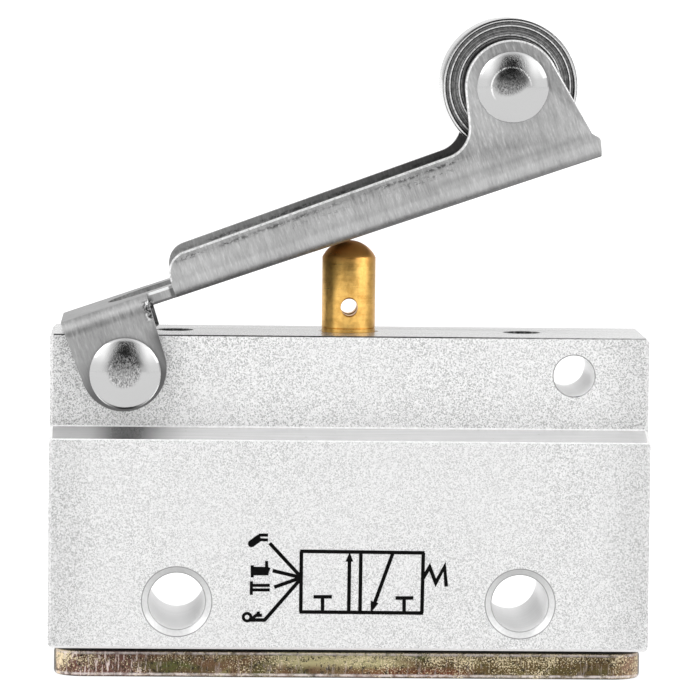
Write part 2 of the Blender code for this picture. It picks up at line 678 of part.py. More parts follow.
def build_lever(material, pivot):
    """One bent sheet: rear bracket over the block, neck with a window, front channel with ears."""
    wide = LEVER_OUTER + SHEET
    reach = ROLLER_ALONG + 2 * EAR_RADIUS
    lever = add_piece('lever_arm', prism('lever_arm', channel_section(True), CHANNEL_START, reach, endways),
                      material, pivot)
    front = add_cutter('front_outline_cutter', prism('front_outline_cutter', front_outline(), -wide, wide,
                                                     across), pivot)
    combine(lever, front, 'INTERSECT')
    rear = add_cutter('rear_bracket_shape', prism('rear_bracket_shape', channel_section(False),
                                                  -2 * BRACKET_REAR, BRACKET_FRONT, endways), pivot)
    combine(rear, add_cutter('rear_outline_cutter', prism('rear_outline_cutter', rear_outline(), -wide, wide,
                                                          across), pivot), 'INTERSECT')
    combine(rear, add_cutter('rear_stop_cutter', prism('rear_stop_cutter', rear_stop_outline(), -LEVER_INNER,
                                                       LEVER_INNER, across), pivot), 'DIFFERENCE')
    combine(lever, rear, 'UNION')
    neck_half = LEVER_OUTER - BEND_RADIUS - NECK_RELIEF
    neck = [(BRACKET_FRONT - SHEET, -neck_half), (CHANNEL_START + SHEET, -neck_half),
            (CHANNEL_START + SHEET, neck_half), (BRACKET_FRONT - SHEET, neck_half)]
    combine(lever, add_cutter('neck_shape', prism('neck_shape', neck, PIVOT_BELOW_WEB,
                                                  PIVOT_BELOW_WEB + SHEET, upright), pivot), 'UNION')
    combine(lever, add_cutter('window_cutter', prism('window_cutter', window_outline(), 0,
                                                     PIVOT_BELOW_WEB + 2 * SHEET, upright), pivot),
            'DIFFERENCE')
    hole = RIVET_RADIUS + SEAT_GAP
    for name, place in (('pivot_hole_cutter', Vector((0, 0, 0))), ('axle_hole_cutter', ROLLER_CENTRE)):
        combine(lever, rod_cutter(name, hole, -wide, wide, 'Y', place, ROUND_STEPS, pivot), 'DIFFERENCE')
    shade_round(lever)


def window_outline():
    """Slot in the web with a round rear end."""
    half = WINDOW_WIDTH / 2
    points = [(WINDOW_END, -half), (WINDOW_END, half)]
    return points + arc((WINDOW_START + half, 0), half, math.pi / 2, 3 * math.pi / 2)


def rivet_mesh(name):
    """A plain shank with a domed head at each end, along Y."""
    base = LEVER_OUTER + SEAT_GAP
    dome = RIVET_HEAD_HEIGHT - RIVET_HEAD_RIM
    sphere = (RIVET_HEAD_RADIUS ** 2 + dome ** 2) / (2 * dome)
    edge = math.asin(RIVET_HEAD_RADIUS / sphere)
    steps = 4
    half = [(RIVET_RADIUS, base), (RIVET_HEAD_RADIUS, base)]
    for i in range(steps):
        angle = edge * (1 - i / steps)
        height = base + RIVET_HEAD_HEIGHT - sphere + sphere * math.cos(angle)
        half.append((sphere * math.sin(angle), height))
    half.append((0, base + RIVET_HEAD_HEIGHT))
    mirrored = [(radius, -height) for radius, height in reversed(half)]
    return turned(name, mirrored + half, ROUND_STEPS, 'Y')


def build_rivets(material, pivot):
    for name, place in (('hinge_rivet', Vector((0, 0, 0))), ('roller_axle', ROLLER_CENTRE)):
        rivet = add_piece(name, rivet_mesh(name), material, pivot, place)
        shade_round(rivet)


def build_roller(steel, bronze, pivot):
    """Roller with turned faces on a plain bush, and a spacer on each side of it."""
    axle = bpy.data.objects.new('roller_axis', None)
    bpy.context.scene.collection.objects.link(axle)
    axle.parent = pivot
    axle.location = ROLLER_CENTRE
    half = ROLLER_WIDTH / 2
    bush_inner = RIVET_RADIUS + RUNNING_GAP
    bush_outer = bush_inner + ROLLER_BUSH_WALL
    bore = bush_outer + SEAT_GAP
    rim = ROLLER_RADIUS - ROLLER_EDGE - ROLLER_RIM
    groove = rim - ROLLER_GROOVE
    band = groove - ROLLER_BAND
    recess = band - ROLLER_RECESS
    face = [(bore, half), (recess, half), (recess, half - ROLLER_RECESS_DEPTH),
            (band, half - ROLLER_RECESS_DEPTH), (band, half), (groove, half),
            (groove, half - ROLLER_GROOVE_DEPTH), (rim, half - ROLLER_GROOVE_DEPTH), (rim, half),
            (ROLLER_RADIUS - ROLLER_EDGE, half), (ROLLER_RADIUS, half - ROLLER_EDGE)]
    other = [(radius, -height) for radius, height in reversed(face)]
    roller = add_piece('roller', turned('roller', face + other, LARGE_STEPS, 'Y'), steel, axle)
    bush = add_piece('roller_bush', ring_mesh('roller_bush', bush_inner, bush_outer, -half, half,
                                              ROUND_STEPS, 'Y'), bronze, axle)
    near = half + SEAT_GAP
    far = LEVER_INNER - SEAT_GAP
    inner = RIVET_RADIUS + SEAT_GAP
    pieces = [roller, bush]
    for name, low, high in (('roller_spacer_front', -far, -near), ('roller_spacer_back', near, far)):
        mesh = ring_mesh(name, inner, inner + SPACER_WALL, low, high, ROUND_STEPS, 'Y')
        pieces.append(add_piece(name, mesh, steel, pivot, ROLLER_CENTRE))
    for piece in pieces:
        shade_round(piece)


def build_valve():
    clear_scene()
    aluminium = make_material('blasted aluminium', (0.78, 0.78, 0.79), 0.6, 0.5)
    zinc = make_material('yellow zinc plate', (0.62, 0.55, 0.36), 0.8, 0.4)
    brass = make_material('brass', (0.75, 0.52, 0.18), 1.0, 0.3)
    stainless = make_material('brushed stainless sheet', (0.60, 0.60, 0.60), 1.0, 0.35)
    nickel = make_material('bright nickel', (0.85, 0.85, 0.85), 1.0, 0.15)
    steel = make_material('turned steel', (0.70, 0.70, 0.71), 1.0, 0.25)
    spring_steel = make_material('spring steel', (0.45, 0.45, 0.47), 1.0, 0.35)
    bronze = make_material('sintered bronze', (0.55, 0.38, 0.22), 0.8, 0.5)
    rubber = make_material('black nitrile rubber', (0.02, 0.02, 0.02), 0.0, 0.7)

    build_body(aluminium)
    build_plate(zinc)
    build_plate_screws(steel)
    build_seat(brass, rubber)
    build_cover_ring(rubber)
    build_poppet(brass, rubber)
    build_plunger(brass)
    build_guide(brass, rubber)
    build_springs(spring_steel)

    pivot = bpy.data.objects.new('lever_pivot', None)
    bpy.context.scene.collection.objects.link(pivot)
    pivot.location = PIVOT
    pivot.rotation_euler = LEVER_TURN.to_euler()
    build_lever(stainless, pivot)
    build_rivets(nickel, pivot)
    build_roller(steel, bronze, pivot)


build_valve()
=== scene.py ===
"""Looks of the roller lever air valve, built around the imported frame.

Lengths are in metres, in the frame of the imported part: +Z is up, the front looks along -Y and
the origin is the middle of the plate's underside. Lever pieces are built in the lever's own
frame, with the pivot at the origin and +X along the lever.
"""
from math import acos, asin, atan2, ceil, cos, hypot, pi, radians, sin, tan

import bmesh
import bpy
from mathutils import Matrix, Vector


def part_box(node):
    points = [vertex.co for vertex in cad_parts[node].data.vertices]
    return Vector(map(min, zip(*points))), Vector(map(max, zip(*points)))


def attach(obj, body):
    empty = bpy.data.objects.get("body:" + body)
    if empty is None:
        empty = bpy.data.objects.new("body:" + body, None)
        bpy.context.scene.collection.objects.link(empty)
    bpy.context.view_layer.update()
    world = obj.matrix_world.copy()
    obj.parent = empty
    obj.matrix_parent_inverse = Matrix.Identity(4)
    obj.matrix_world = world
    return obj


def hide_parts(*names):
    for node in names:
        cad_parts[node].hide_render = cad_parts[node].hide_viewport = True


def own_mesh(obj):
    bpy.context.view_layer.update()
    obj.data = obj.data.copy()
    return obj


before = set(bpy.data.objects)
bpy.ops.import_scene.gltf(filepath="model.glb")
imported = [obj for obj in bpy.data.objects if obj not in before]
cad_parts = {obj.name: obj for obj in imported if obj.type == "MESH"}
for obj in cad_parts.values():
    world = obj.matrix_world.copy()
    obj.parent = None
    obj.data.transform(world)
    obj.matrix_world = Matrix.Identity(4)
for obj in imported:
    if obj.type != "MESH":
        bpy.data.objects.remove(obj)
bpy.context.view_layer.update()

# Block
BLOCK_LENGTH = 0.070
BLOCK_DEPTH = 0.025
UPPER_DEPTH = 0.0175
BLOCK_BASE = 0.0034
BLOCK_TOP = 0.0398
SHOULDER_OUTER = 0.02785
SHOULDER_INNER = 0.02905
END_EDGE = 0.0004
TOP_EDGE = 0.00015
BOTTOM_EDGE = 0.0003
SHOULDER_EDGE = 0.0001
SHOULDER_FOOT = 0.00012
# Painted dark reflection on the shoulder below the hinge: its low and high ends along X and their softness.
SHOULDER_PAINTED_REFLECTION = (-0.0287, -0.0232, 0.0022)
MOUNT_HOLE_X = 0.020
MOUNT_HOLE_Z = 0.00895
MOUNT_HOLE_RADIUS = 0.0033
MOUNT_HOLE_CHAMFER = 0.0008
CROSS_HOLE_X = 0.0262
CROSS_HOLE_Z = 0.03535
CROSS_HOLE_RADIUS = 0.0024
CROSS_HOLE_MOUTH = 0.00012
TOP_HOLE_X = 0.0205
TOP_HOLE_RADIUS = 0.00205
TOP_HOLE_DEPTH = 0.0075
TOP_THREAD_PITCH = 0.0007
PORT_RADIUS = 0.0057
PORT_DEPTH = 0.010
PORT_THREAD_PITCH = 0.00134
SUPPLY_PORT_Z = 0.0155
WORKING_PORT_Z = 0.0205
PASSAGE_RADIUS = 0.0020
SUPPLY_PASSAGE_Z = 0.0151
WORKING_PASSAGE_Z = 0.0236
CHAMBER_RADIUS = 0.0070
CHAMBER_TOP = 0.0214
SPRING_BORE_RADIUS = 0.0052
SPRING_BORE_TOP = 0.0366
PLUNGER_BORE_RADIUS = 0.00325

# Plate
PLATE_LENGTH = 0.0686
PLATE_DEPTH = 0.0236
PLATE_THICKNESS = 0.0031
PLATE_CORNER = 0.0035
PLATE_EDGE = 0.0005
SCREW_X = 0.030
SCREW_Y = 0.008
SCREW_HOLE_RADIUS = 0.00165
SCREW_HOLE_TOP = 0.0098
SCREW_SINK_RADIUS = 0.0031

# Plunger
PLUNGER_RADIUS = 0.00315
PLUNGER_DOME = 0.0020
PLUNGER_HOLE_Z = 0.0428
PLUNGER_HOLE_RADIUS = 0.0010
PLUNGER_HOLE_MOUTH = 0.00018
PLUNGER_CORE = 0.0012
STEM_RADIUS = 0.0020
FLANGE_RADIUS = 0.0046
PLUNGER_TRAVEL = 0.0039
POPPET_TRAVEL = 0.0030

# Lever, in its own frame
PIVOT = Vector((-CROSS_HOLE_X, 0, CROSS_HOLE_Z))
LEVER_ANGLE = radians(18.9)
SHEET = 0.0015
BEND_RADIUS = 0.0021
LEVER_INNER = 0.00895
LEVER_OUTER = 0.01045
PIVOT_BELOW_WEB = 0.0064
BRACKET_REAR = 0.0053
BRACKET_FRONT = 0.0052
BRACKET_END_RADIUS = 0.0050
BRACKET_END_RISE = 0.0006
WEB_REAR_ROUND = 0.0010
CHANNEL_START = 0.0084
CHEEK_HEIGHT_REAR = 0.0049
CHEEK_HEIGHT_FRONT = 0.00565
CHEEK_CORNER = 0.0025
EAR_RADIUS = 0.0055
EAR_FOOT_REACH = 0.0096
EAR_FOOT_RADIUS = 0.0035
EAR_LEAN = radians(10.5)
TOE_REACH = 0.0606
TOE_LEAN = 0.0004
TOE_HEIGHT = 0.0019
TOE_ROUND = 0.0008
WINDOW_WIDTH = 0.0090
WINDOW_START = 0.0004
WINDOW_END = 0.0083
NECK_RELIEF = 0.0002
SHEET_EDGE = 0.0003
CHEEK_EDGE = 0.00022

# Rivets and roller
RIVET_RADIUS = 0.0023
RIVET_HEAD_RADIUS = 0.00415
RIVET_HEAD_HEIGHT = 0.0017
RIVET_HEAD_RIM = 0.0004
RIVET_GAP = 0.0002
ROLLER_ALONG = 0.0532
ROLLER_ABOVE = 0.0174
ROLLER_RADIUS = 0.0079
ROLLER_HALF = 0.0050
ROLLER_RIM = 0.00742
FACE_RINGS = ((0.00706, 0.00016, 1.0), (0.00690, 0.00008, 0.03),
              (0.00655, 0.00005, 0.40), (0.00622, 0.00006, 0.55), (0.00597, 0.00015, 1.0),
              (0.00566, 0.00007, 0.55), (0.00542, 0.00008, 0.03), (0.00525, 0.00013, 1.0),
              (0.00504, 0.00013, 1.0))
TREAD_RINGS = ((0.00784, 0.00008, 0.03), (0.00746, 0.00007, 0.02))

FINE_ARC = radians(5)
HOLE_STEPS = 72
SMALL_HOLE_STEPS = 48
ROUND_STEPS = 96

AT_LEVER = Matrix.Translation(PIVOT) @ Matrix.Rotation(-LEVER_ANGLE, 4, 'Y')
ROLLER_CENTRE = Vector((ROLLER_ALONG, 0, ROLLER_ABOVE))
AT_ROLLER = AT_LEVER @ Matrix.Translation(ROLLER_CENTRE)


# Mesh helpers


def linked(name, data):
    """A new object with this data, linked to the scene."""
    thing = bpy.data.objects.new(name, data)
    bpy.context.scene.collection.objects.link(thing)
    return thing


def arc(centre, radius, start, end, step=FINE_ARC):
    steps = max(2, ceil(abs(end - start) / step))
    angles = [start + (end - start) * i / steps for i in range(steps + 1)]
    return [(centre[0] + radius * cos(a), centre[1] + radius * sin(a)) for a in angles]


def mesh_from(builder, name):
    bmesh.ops.remove_doubles(builder, verts=builder.verts, dist=1e-7)
    bmesh.ops.recalc_face_normals(builder, faces=builder.faces)
    mesh = bpy.data.meshes.new(name)
    builder.to_mesh(mesh)
    builder.free()
    return mesh


def prism(outline, low, high, place):
    """Extrude an outline from low to high. place(a, b, depth) gives a point in space."""
    builder = bmesh.new()
    ends = [[builder.verts.new(place(a, b, depth)) for a, b in outline] for depth in (low, high)]
    builder.faces.new(ends[0])
    builder.faces.new(ends[1])
    count = len(outline)
    for i in range(count):
        j = (i + 1) % count
        builder.faces.new((ends[0][i], ends[0][j], ends[1][j], ends[1][i]))
    return mesh_from(builder, 'prism')


def across(a, b, depth):
    """Side view: a along X, b up, extruded along Y."""
    return (a, depth, b)


def endways(a, b, depth):
    """End view: a along Y, b up, extruded along X."""
    return (depth, a, b)


def upright(a, b, depth):
    """Plan view: a along X, b along Y, extruded up."""
    return (a, b, depth)


def turned(profile, steps=ROUND_STEPS, axis='Z', place=(0, 0, 0)):
    """Spin a closed profile of (radius, height) points about an axis through a place."""
    builder = bmesh.new()
    rings = []
    for radius, height in profile:
        if radius < 1e-9:
            rings.append([builder.verts.new((0, 0, height))])
            continue
        angles = [2 * pi * i / steps for i in range(steps)]
        rings.append([builder.verts.new((radius * cos(a), radius * sin(a), height))
                      for a in angles])
    count = len(rings)
    for k in range(count):
        below, above = rings[k], rings[(k + 1) % count]
        if len(below) == 1 and len(above) == 1:
            continue
        for i in range(steps):
            j = (i + 1) % steps
            corners = [below[i % len(below)], below[j % len(below)],
                       above[j % len(above)], above[i % len(above)]]
            builder.faces.new(list(dict.fromkeys(corners)))
    turn = {'X': Matrix.Rotation(radians(90), 4, 'Y'),
            'Y': Matrix.Rotation(radians(-90), 4, 'X'),
            'Z': Matrix.Identity(4)}[axis]
    bmesh.ops.transform(builder, matrix=Matrix.Translation(place) @ turn, verts=builder.verts)
    return mesh_from(builder, 'turned')


def rod(radius, low, high, axis, place, steps=HOLE_STEPS):
    return turned([(0, low), (radius, low), (radius, high), (0, high)], steps, axis, place)


def through_hole(radius, half, mouth, place, steps=HOLE_STEPS):
    """Cutter along Y for a hole with a chamfer at both mouths, in a wall of twice the half."""
    wide, far = radius + mouth + 0.0005, half + 0.0005
    return turned([(0, -far), (wide, -far), (radius, mouth - half), (radius, half - mouth), (wide, far),
                   (0, far)], steps, 'Y', place)


def combined(mesh, others, operation):
    """The mesh after a Boolean with each of the others."""
    base = linked('base', mesh)
    helpers = [base]
    for other in others:
        helpers.append(linked('helper', other))
        modifier = base.modifiers.new('combine', 'BOOLEAN')
        modifier.operation = operation
        modifier.solver = 'EXACT'
        modifier.object = helpers[-1]
    bpy.context.view_layer.update()
    depsgraph = bpy.context.evaluated_depsgraph_get()
    result = bpy.data.meshes.new_from_object(base.evaluated_get(depsgraph))
    for helper in helpers:
        bpy.data.objects.remove(helper, do_unlink=True)
    return result


def cleaned(mesh):
    """Merge doubled points and flat neighbours, so that edges can be rounded."""
    builder = bmesh.new()
    builder.from_mesh(mesh)
    bmesh.ops.remove_doubles(builder, verts=builder.verts, dist=2e-6)
    bmesh.ops.dissolve_limit(builder, angle_limit=radians(0.4), verts=builder.verts,
                             edges=builder.edges)
    builder.to_mesh(mesh)
    builder.free()
    return mesh


def bevelled(mesh, width, chosen, segments=1, clamped=True):
    """The mesh with the chosen edges cut back."""
    builder = bmesh.new()
    builder.from_mesh(mesh)
    edges = [edge for edge in builder.edges if chosen(edge)]
    bmesh.ops.bevel(builder, geom=edges, offset=width, offset_type='OFFSET', segments=segments,
                    profile=0.5, affect='EDGES', clamp_overlap=clamped)
    builder.to_mesh(mesh)
    builder.free()
    return mesh


def smooth_by_angle(mesh, degrees):
    mesh.shade_smooth()
    mesh.set_sharp_from_angle(angle=radians(degrees))


def round_edges(piece, width, segments=2, degrees=35):
    modifier = piece.modifiers.new('Rounded edges', 'BEVEL')
    modifier.width = width
    modifier.segments = segments
    modifier.limit_method = 'ANGLE'
    modifier.angle_limit = radians(degrees)
    modifier.harden_normals = True


def add_piece(name, mesh, body, materials, place=None, smooth=32, zone=None):
    """Make a piece, give it its materials and let it ride on a body.

    zone(centre, normal) returns the material number of a face.
    """
    mesh.materials.clear()
    for material in materials:
        mesh.materials.append(material)
    if zone:
        for face in mesh.polygons:
            face.material_index = zone(face.center, face.normal)
    if place:
        mesh.transform(place)
    if smooth:
        smooth_by_angle(mesh, smooth)
    piece = linked(name, mesh)
    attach(piece, body)
    return piece


# Material helpers


def rgb(value):
    """A colour as three numbers. A single number is a grey."""
    return (value,) * 3 if isinstance(value, float) else value


def scaled(colour, factor):
    return tuple(min(1.0, c * factor) for c in rgb(colour))


class Nodes:
    """Short calls that add to a node tree. The tone is the colour made so far."""

    def __init__(self, tree, output):
        self.tree = tree
        self.coordinates = self.add('TexCoord', {}, output)
        self.tone = 1.0

    def set(self, node, inputs):
        for key, value in inputs.items():
            if isinstance(value, bpy.types.NodeSocket):
                self.tree.links.new(value, node.inputs[key])
            else:
                node.inputs[key].default_value = value

    def add(self, kind, inputs, output=0, **settings):
        node = self.tree.nodes.new('ShaderNode' + kind)
        for key, value in settings.items():
            setattr(node, key, value)
        self.set(node, inputs)
        return node.outputs[output]

    def noise(self, scale, detail=2.0, roughness=0.5, vector=None, distortion=0.0):
        return self.add('TexNoise', {'Vector': vector or self.coordinates, 'Scale': scale, 'Detail': detail,
                                     'Roughness': roughness, 'Distortion': distortion})

    def streaks(self, scales, detail=3.0, roughness=0.5, turn=(0, 0, 0), distortion=0.0):
        """Noise with its own scale along each axis."""
        vector = self.add('Mapping', {'Vector': self.coordinates, 'Scale': scales, 'Rotation': turn})
        return self.noise(1, detail, roughness, vector, distortion)

    def ramp(self, value, *stops):
        """A colour ramp through (position, colour) stops."""
        node = self.tree.nodes.new('ShaderNodeValToRGB')
        self.tree.links.new(value, node.inputs['Fac'])
        elements = node.color_ramp.elements
        while len(elements) < len(stops):
            elements.new(0.5)
        for element, (position, colour) in zip(elements, stops):
            element.position = position
            element.color = (*rgb(colour), 1)
        return node.outputs['Color']

    def mix(self, share, *colours):
        """The first of two colours with a share of the second."""
        first, second = (colour if isinstance(colour, bpy.types.NodeSocket) else (*rgb(colour), 1)
                         for colour in colours)
        return self.add('Mix', {0: share, 6: first, 7: second}, 2, data_type='RGBA')

    def stain(self, colour, *shares):
        """Mix a colour into the tone, by the product of the shares."""
        self.tone = self.mix(self.times(*shares), self.tone, colour)

    def maths(self, operation, first, second=0.0):
        return self.add('Math', {0: first, 1: second}, operation=operation)

    def times(self, product, *factors):
        for factor in factors:
            product = self.maths('MULTIPLY', product, factor)
        return product

    def slope(self, value, start, end, low=0.0, high=1.0, kind='LINEAR'):
        """Goes from low to high as the value goes from start to end."""
        return self.add('MapRange', {0: value, 1: start, 2: end, 3: low, 4: high}, interpolation_type=kind)

    def within(self, value, low, high, soft):
        """1 inside the range from low to high and 0 outside it, with soft ends."""
        rise, fall = (self.slope(value, edge - soft, edge + soft, kind='SMOOTHSTEP') for edge in (low, high))
        return self.maths('SUBTRACT', rise, fall)

    def axis(self, number):
        return self.add('SeparateXYZ', {0: self.coordinates}, number)

    def distance(self, x, z, stretch=1.0):
        """Distance in the XZ plane from a line along Y through (x, z); x may be a socket."""
        across = self.maths('SUBTRACT', self.axis(0), x)
        above = self.times(self.maths('SUBTRACT', self.axis(2), z), stretch)
        return self.maths('SQRT', self.maths('ADD', self.times(across, across), self.times(above, above)))


class Shader(Nodes):
    """The node tree of a material with a Principled shader."""

    def __init__(self, name, colour, metallic, roughness, place=None):
        self.material = bpy.data.materials.new(name)
        self.material.use_nodes = True
        super().__init__(self.material.node_tree, 'Object')
        self.principled = self.tree.nodes['Principled BSDF']
        self.set(self.principled, {'Base Color': (*rgb(colour), 1), 'Metallic': metallic,
                                   'Roughness': roughness})
        if place:
            self.coordinates = self.add('Mapping', {
                'Vector': self.coordinates, 'Location': place.to_translation(),
                'Rotation': place.to_euler()}, vector_type='TEXTURE')

    def done(self, height=None, strength=0.0, distance=0.0, roughness=None):
        """Link the tone, and a bump and a roughness where they are given."""
        self.set(self.principled, {'Base Color': self.tone})
        if height:
            self.set(self.principled, {'Normal': self.add('Bump', {
                'Height': height, 'Strength': strength, 'Distance': distance})})
        if roughness:
            self.set(self.principled, {'Roughness': roughness})
        return self.material


def hole_rings(shader, radius=MOUNT_HOLE_RADIUS + MOUNT_HOLE_CHAMFER):
    """1 on a thin line round each mounting hole."""
    side = shader.times(shader.maths('SIGN', shader.axis(0)), MOUNT_HOLE_X)
    half = 0.00006
    return shader.within(shader.distance(side, MOUNT_HOLE_Z), radius - half, radius + half, 0.00002)


def blasted_aluminium(name, light, contrast):
    """Bead-blasted surface: a fine grain of light facets and dark pits, stronger near the ends."""
    shader = Shader(name, light, 0.2, 0.6)
    grain = shader.add('TexVoronoi', {'Vector': shader.coordinates, 'Scale': 8000}, 1)
    facets = shader.ramp(grain, (0.20, light * 0.05), (0.50, light * 0.90), (0.80, min(1.0, light * 1.6)))
    ends = shader.maths('SUBTRACT', 1.0, shader.within(shader.axis(0), -0.031, 0.031, 0.003))
    patches = shader.ramp(shader.noise(70, 3.0), (0.35, contrast * 0.8), (0.7, contrast * 1.2))
    shader.tone = light
    shader.stain(facets, shader.maths('ADD', patches, shader.times(ends, contrast * 0.5)))
    shader.stain(0.45, ends, 0.25)
    shader.stain(light * 0.5, hole_rings(shader))
    return shader.done(grain, 0.3, 0.00005)


def milled_aluminium(name, light, metallic, roughness, painted_reflection=None):
    """Smooth cut surface with fine tool lines along X, and a painted dark reflection from low to high where
    one is given.
    """
    shader = Shader(name, light, metallic, roughness)
    marks = shader.streaks((90, 5200, 5200))
    shader.tone = shader.ramp(marks, (0.3, light * 0.90), (0.7, min(1.0, light * 1.08)))
    shader.stain(0.25, shader.ramp(shader.noise(1700), (0.70, 0.0), (0.76, 0.35)))
    if painted_reflection:
        low, high, soft = painted_reflection
        # Painted reflection: a wide soft darkening with a darker core.
        shader.stain(0.30, shader.within(shader.axis(0), low - 0.0070, high + 0.0030, soft), 0.40)
        shader.stain(0.10, shader.within(shader.axis(0), low, high, soft), 0.95)
    rough = shader.ramp(marks, (0.3, roughness * 0.8), (0.7, roughness * 1.25))
    return shader.done(marks, 0.10, 0.00002, rough)


def bored_aluminium():
    """Wall of a drilled hole, with faint turning rings."""
    shader = Shader('bored aluminium', 0.95, 0.5, 0.35)
    marks = shader.streaks((60, 3800, 60))
    shader.tone = shader.ramp(marks, (0.3, 0.90), (0.6, 1.0))
    return shader.done(marks, 0.2, 0.00004)


def chamfered_aluminium():
    """Bright countersunk ring round a mounting hole, with painted shade on its upper part and a dark line at
    each of its edges.
    """
    shader = Shader('chamfered aluminium', 0.80, 0.3, 0.3)
    marks = shader.noise(3000)
    shader.tone = shader.ramp(marks, (0.3, 0.68), (0.7, 0.78))
    # Painted shade: the upper part of the countersink, which faces down, darker.
    shader.stain(0.45, shader.slope(shader.axis(2), MOUNT_HOLE_Z + 0.0005, MOUNT_HOLE_Z + 0.0036), 0.6)
    inner = shader.times(hole_rings(shader, MOUNT_HOLE_RADIUS + 0.00006), 0.6)
    shader.stain(0.2, shader.maths('MAXIMUM', hole_rings(shader), inner))
    return shader.done(marks, 0.06, 0.00003)


def dark_burr():
    """Sharp upper edge of the block: dark, and lighter towards its right end."""
    shader = Shader('dark burr', 0.05, 0.5, 0.5)
    grain = shader.noise(1600, 3.0)
    shader.tone = shader.ramp(grain, (0.3, 0.02), (0.7, 0.10))
    shader.stain(shader.ramp(grain, (0.3, 0.22), (0.7, 0.5)), shader.slope(shader.axis(0), 0.010, 0.030))
    return shader.done()


def thread_metal():
    shader = Shader('cut thread', 0.10, 0.6, 0.45)
    shader.tone = shader.ramp(shader.noise(2500, 3.0), (0.35, 0.02), (0.55, 0.12), (0.68, 0.5))
    return shader.done()


def brushed_steel():
    """Sheet steel brushed across the lever and scratched along its upper edge, with painted shade towards the
    bends, at the bracket's foot and on the inner faces.
    """
    shader = Shader('brushed steel', 0.45, 1.0, 0.45, AT_LEVER)
    fine = shader.streaks((4600, 700, 760), 4.0, 0.75)
    broad = shader.streaks((1100, 260, 130), 2.0)
    lines = shader.mix(0.3, shader.ramp(fine, (0.32, 0.25), (0.46, 0.43), (0.54, 0.50), (0.70, 0.80)),
                       shader.ramp(broad, (0.3, 0.34), (0.7, 0.60)))
    shader.tone = shader.mix(0.3, lines, shader.ramp(shader.noise(260, 3.0), (0.35, 0.36), (0.65, 0.60)))
    along, height = shader.axis(0), shader.maths('SUBTRACT', shader.axis(2), PIVOT_BELOW_WEB)
    sideways = shader.maths('ABSOLUTE', shader.axis(1))
    shader.stain(0.07, rubbed_marks(shader, along, height))
    shader.stain(0.15, shader.within(height, 0.0026, 0.0032, 0.0004),
                 shader.within(along, 0.040, 0.0600, 0.003), 0.3)
    channel = shader.within(along, CHANNEL_START, 0.08, 0.0002)
    # Painted shade: darker at the very bottom of the cheeks, at the bend.
    shader.stain(0.08, shader.slope(height, 0.0009, 0.0001), channel, 0.6)
    shader.stain(0.17, shader.within(along, -0.02, CHANNEL_START - 0.0015, 0.0005), 0.28)
    # Painted shade: darker at the bracket's foot and on the lower front of the bracket.
    foot = shader.slope(height, -0.0036, -0.0078)
    rear = shader.times(shader.slope(along, 0.0034, 0.0050), shader.slope(height, -0.0020, -0.0035))
    shader.stain(0.12, shader.maths('MAXIMUM', foot, rear), 0.9)
    # Painted shade: the cheeks darken towards the bend.
    shader.stain(0.20, shader.slope(height, 0.0034, 0.0008), channel, 0.25)
    mark_neck(shader, along, height, sideways)
    # Painted shade: the inner faces of the cheeks darken towards the roller.
    inside = shader.slope(sideways, LEVER_INNER + 0.0003, LEVER_INNER + 0.0001)
    shader.stain(0.05, inside, shader.slope(along, 0.016, 0.045, 0.0, 0.8))
    return shader.done(fine, 0.35, 0.00004, shader.ramp(fine, (0.3, 0.36), (0.7, 0.56)))


def mark_neck(shader, along, height, sideways):
    """Painted highlight along the neck's upper edge, painted shade along its lower edge and where it meets
    the channel, and the crushed corner where it leaves the bracket, drawn as painted shade and glints.
    """
    neck = shader.times(shader.within(along, BRACKET_FRONT + 0.0002, CHANNEL_START, 0.0002),
                        shader.within(sideways, 0.0079, 0.0085, 0.0001))
    # Painted highlight along the upper edge of the neck.
    shader.stain(1.0, neck, shader.within(height, SHEET - 0.0003, SHEET + 0.0002, 0.00006))
    # Painted shade along the neck's lower edge and at its join with the channel.
    lower = shader.maths('MAXIMUM', shader.within(height, -0.0002, 0.00028, 0.00008),
                         shader.within(along, CHANNEL_START - 0.0005, CHANNEL_START + 0.0002, 0.0001))
    shader.stain(0.06, neck, lower, 0.7)
    # The crushed corner is real; its dark and light marks are painted shade and glints.
    dent_shade_and_glints = shader.ramp(shader.noise(2300, 3.0, 0.7), (0.45, 0.01), (0.52, 0.30), (0.62, 0.95))
    shader.stain(dent_shade_and_glints, shader.within(along, BRACKET_FRONT - 0.0008, BRACKET_FRONT + 0.0004, 0.0004),
                 shader.within(height, -0.0014, 0.0009, 0.0005), 0.9)


def rubbed_marks(shader, along, height):
    """Share of dark scratches in two bands that follow the cheek's upper edge."""
    start, end = CHANNEL_START + CHEEK_CORNER, ROLLER_ALONG - EAR_FOOT_REACH
    edge = shader.slope(along, start, end, CHEEK_HEIGHT_REAR, CHEEK_HEIGHT_FRONT)
    below = shader.maths('SUBTRACT', edge, height)
    scratches = shader.streaks((1900, 1900, 2600), 4.0, 0.7)
    near = shader.times(shader.within(below, 0.00055, 0.00095, 0.0002),
                        shader.within(along, start - 0.001, end + 0.002, 0.0015),
                        shader.ramp(scratches, (0.42, 0.0), (0.54, 0.85)))
    far = shader.times(shader.within(below, 0.0012, 0.0019, 0.0003),
                       shader.within(along, 0.024, end + 0.001, 0.003),
                       shader.ramp(scratches, (0.52, 0.0), (0.60, 0.5)))
    clusters = shader.ramp(shader.noise(330), (0.38, 0.25), (0.56, 1.0))
    return shader.times(clusters, shader.maths('MAXIMUM', near, far))


def sheared_edge(name, light, metallic):
    """Cut edge of the sheet, with the marks of the shear."""
    shader = Shader(name, light, metallic, 0.35, AT_LEVER)
    marks = shader.streaks((3600, 1200, 3600))
    shader.tone = shader.ramp(marks, (0.3, light * 0.65), (0.5, light), (0.7, light * 1.17))
    return shader.done(marks, 0.2, 0.00004)


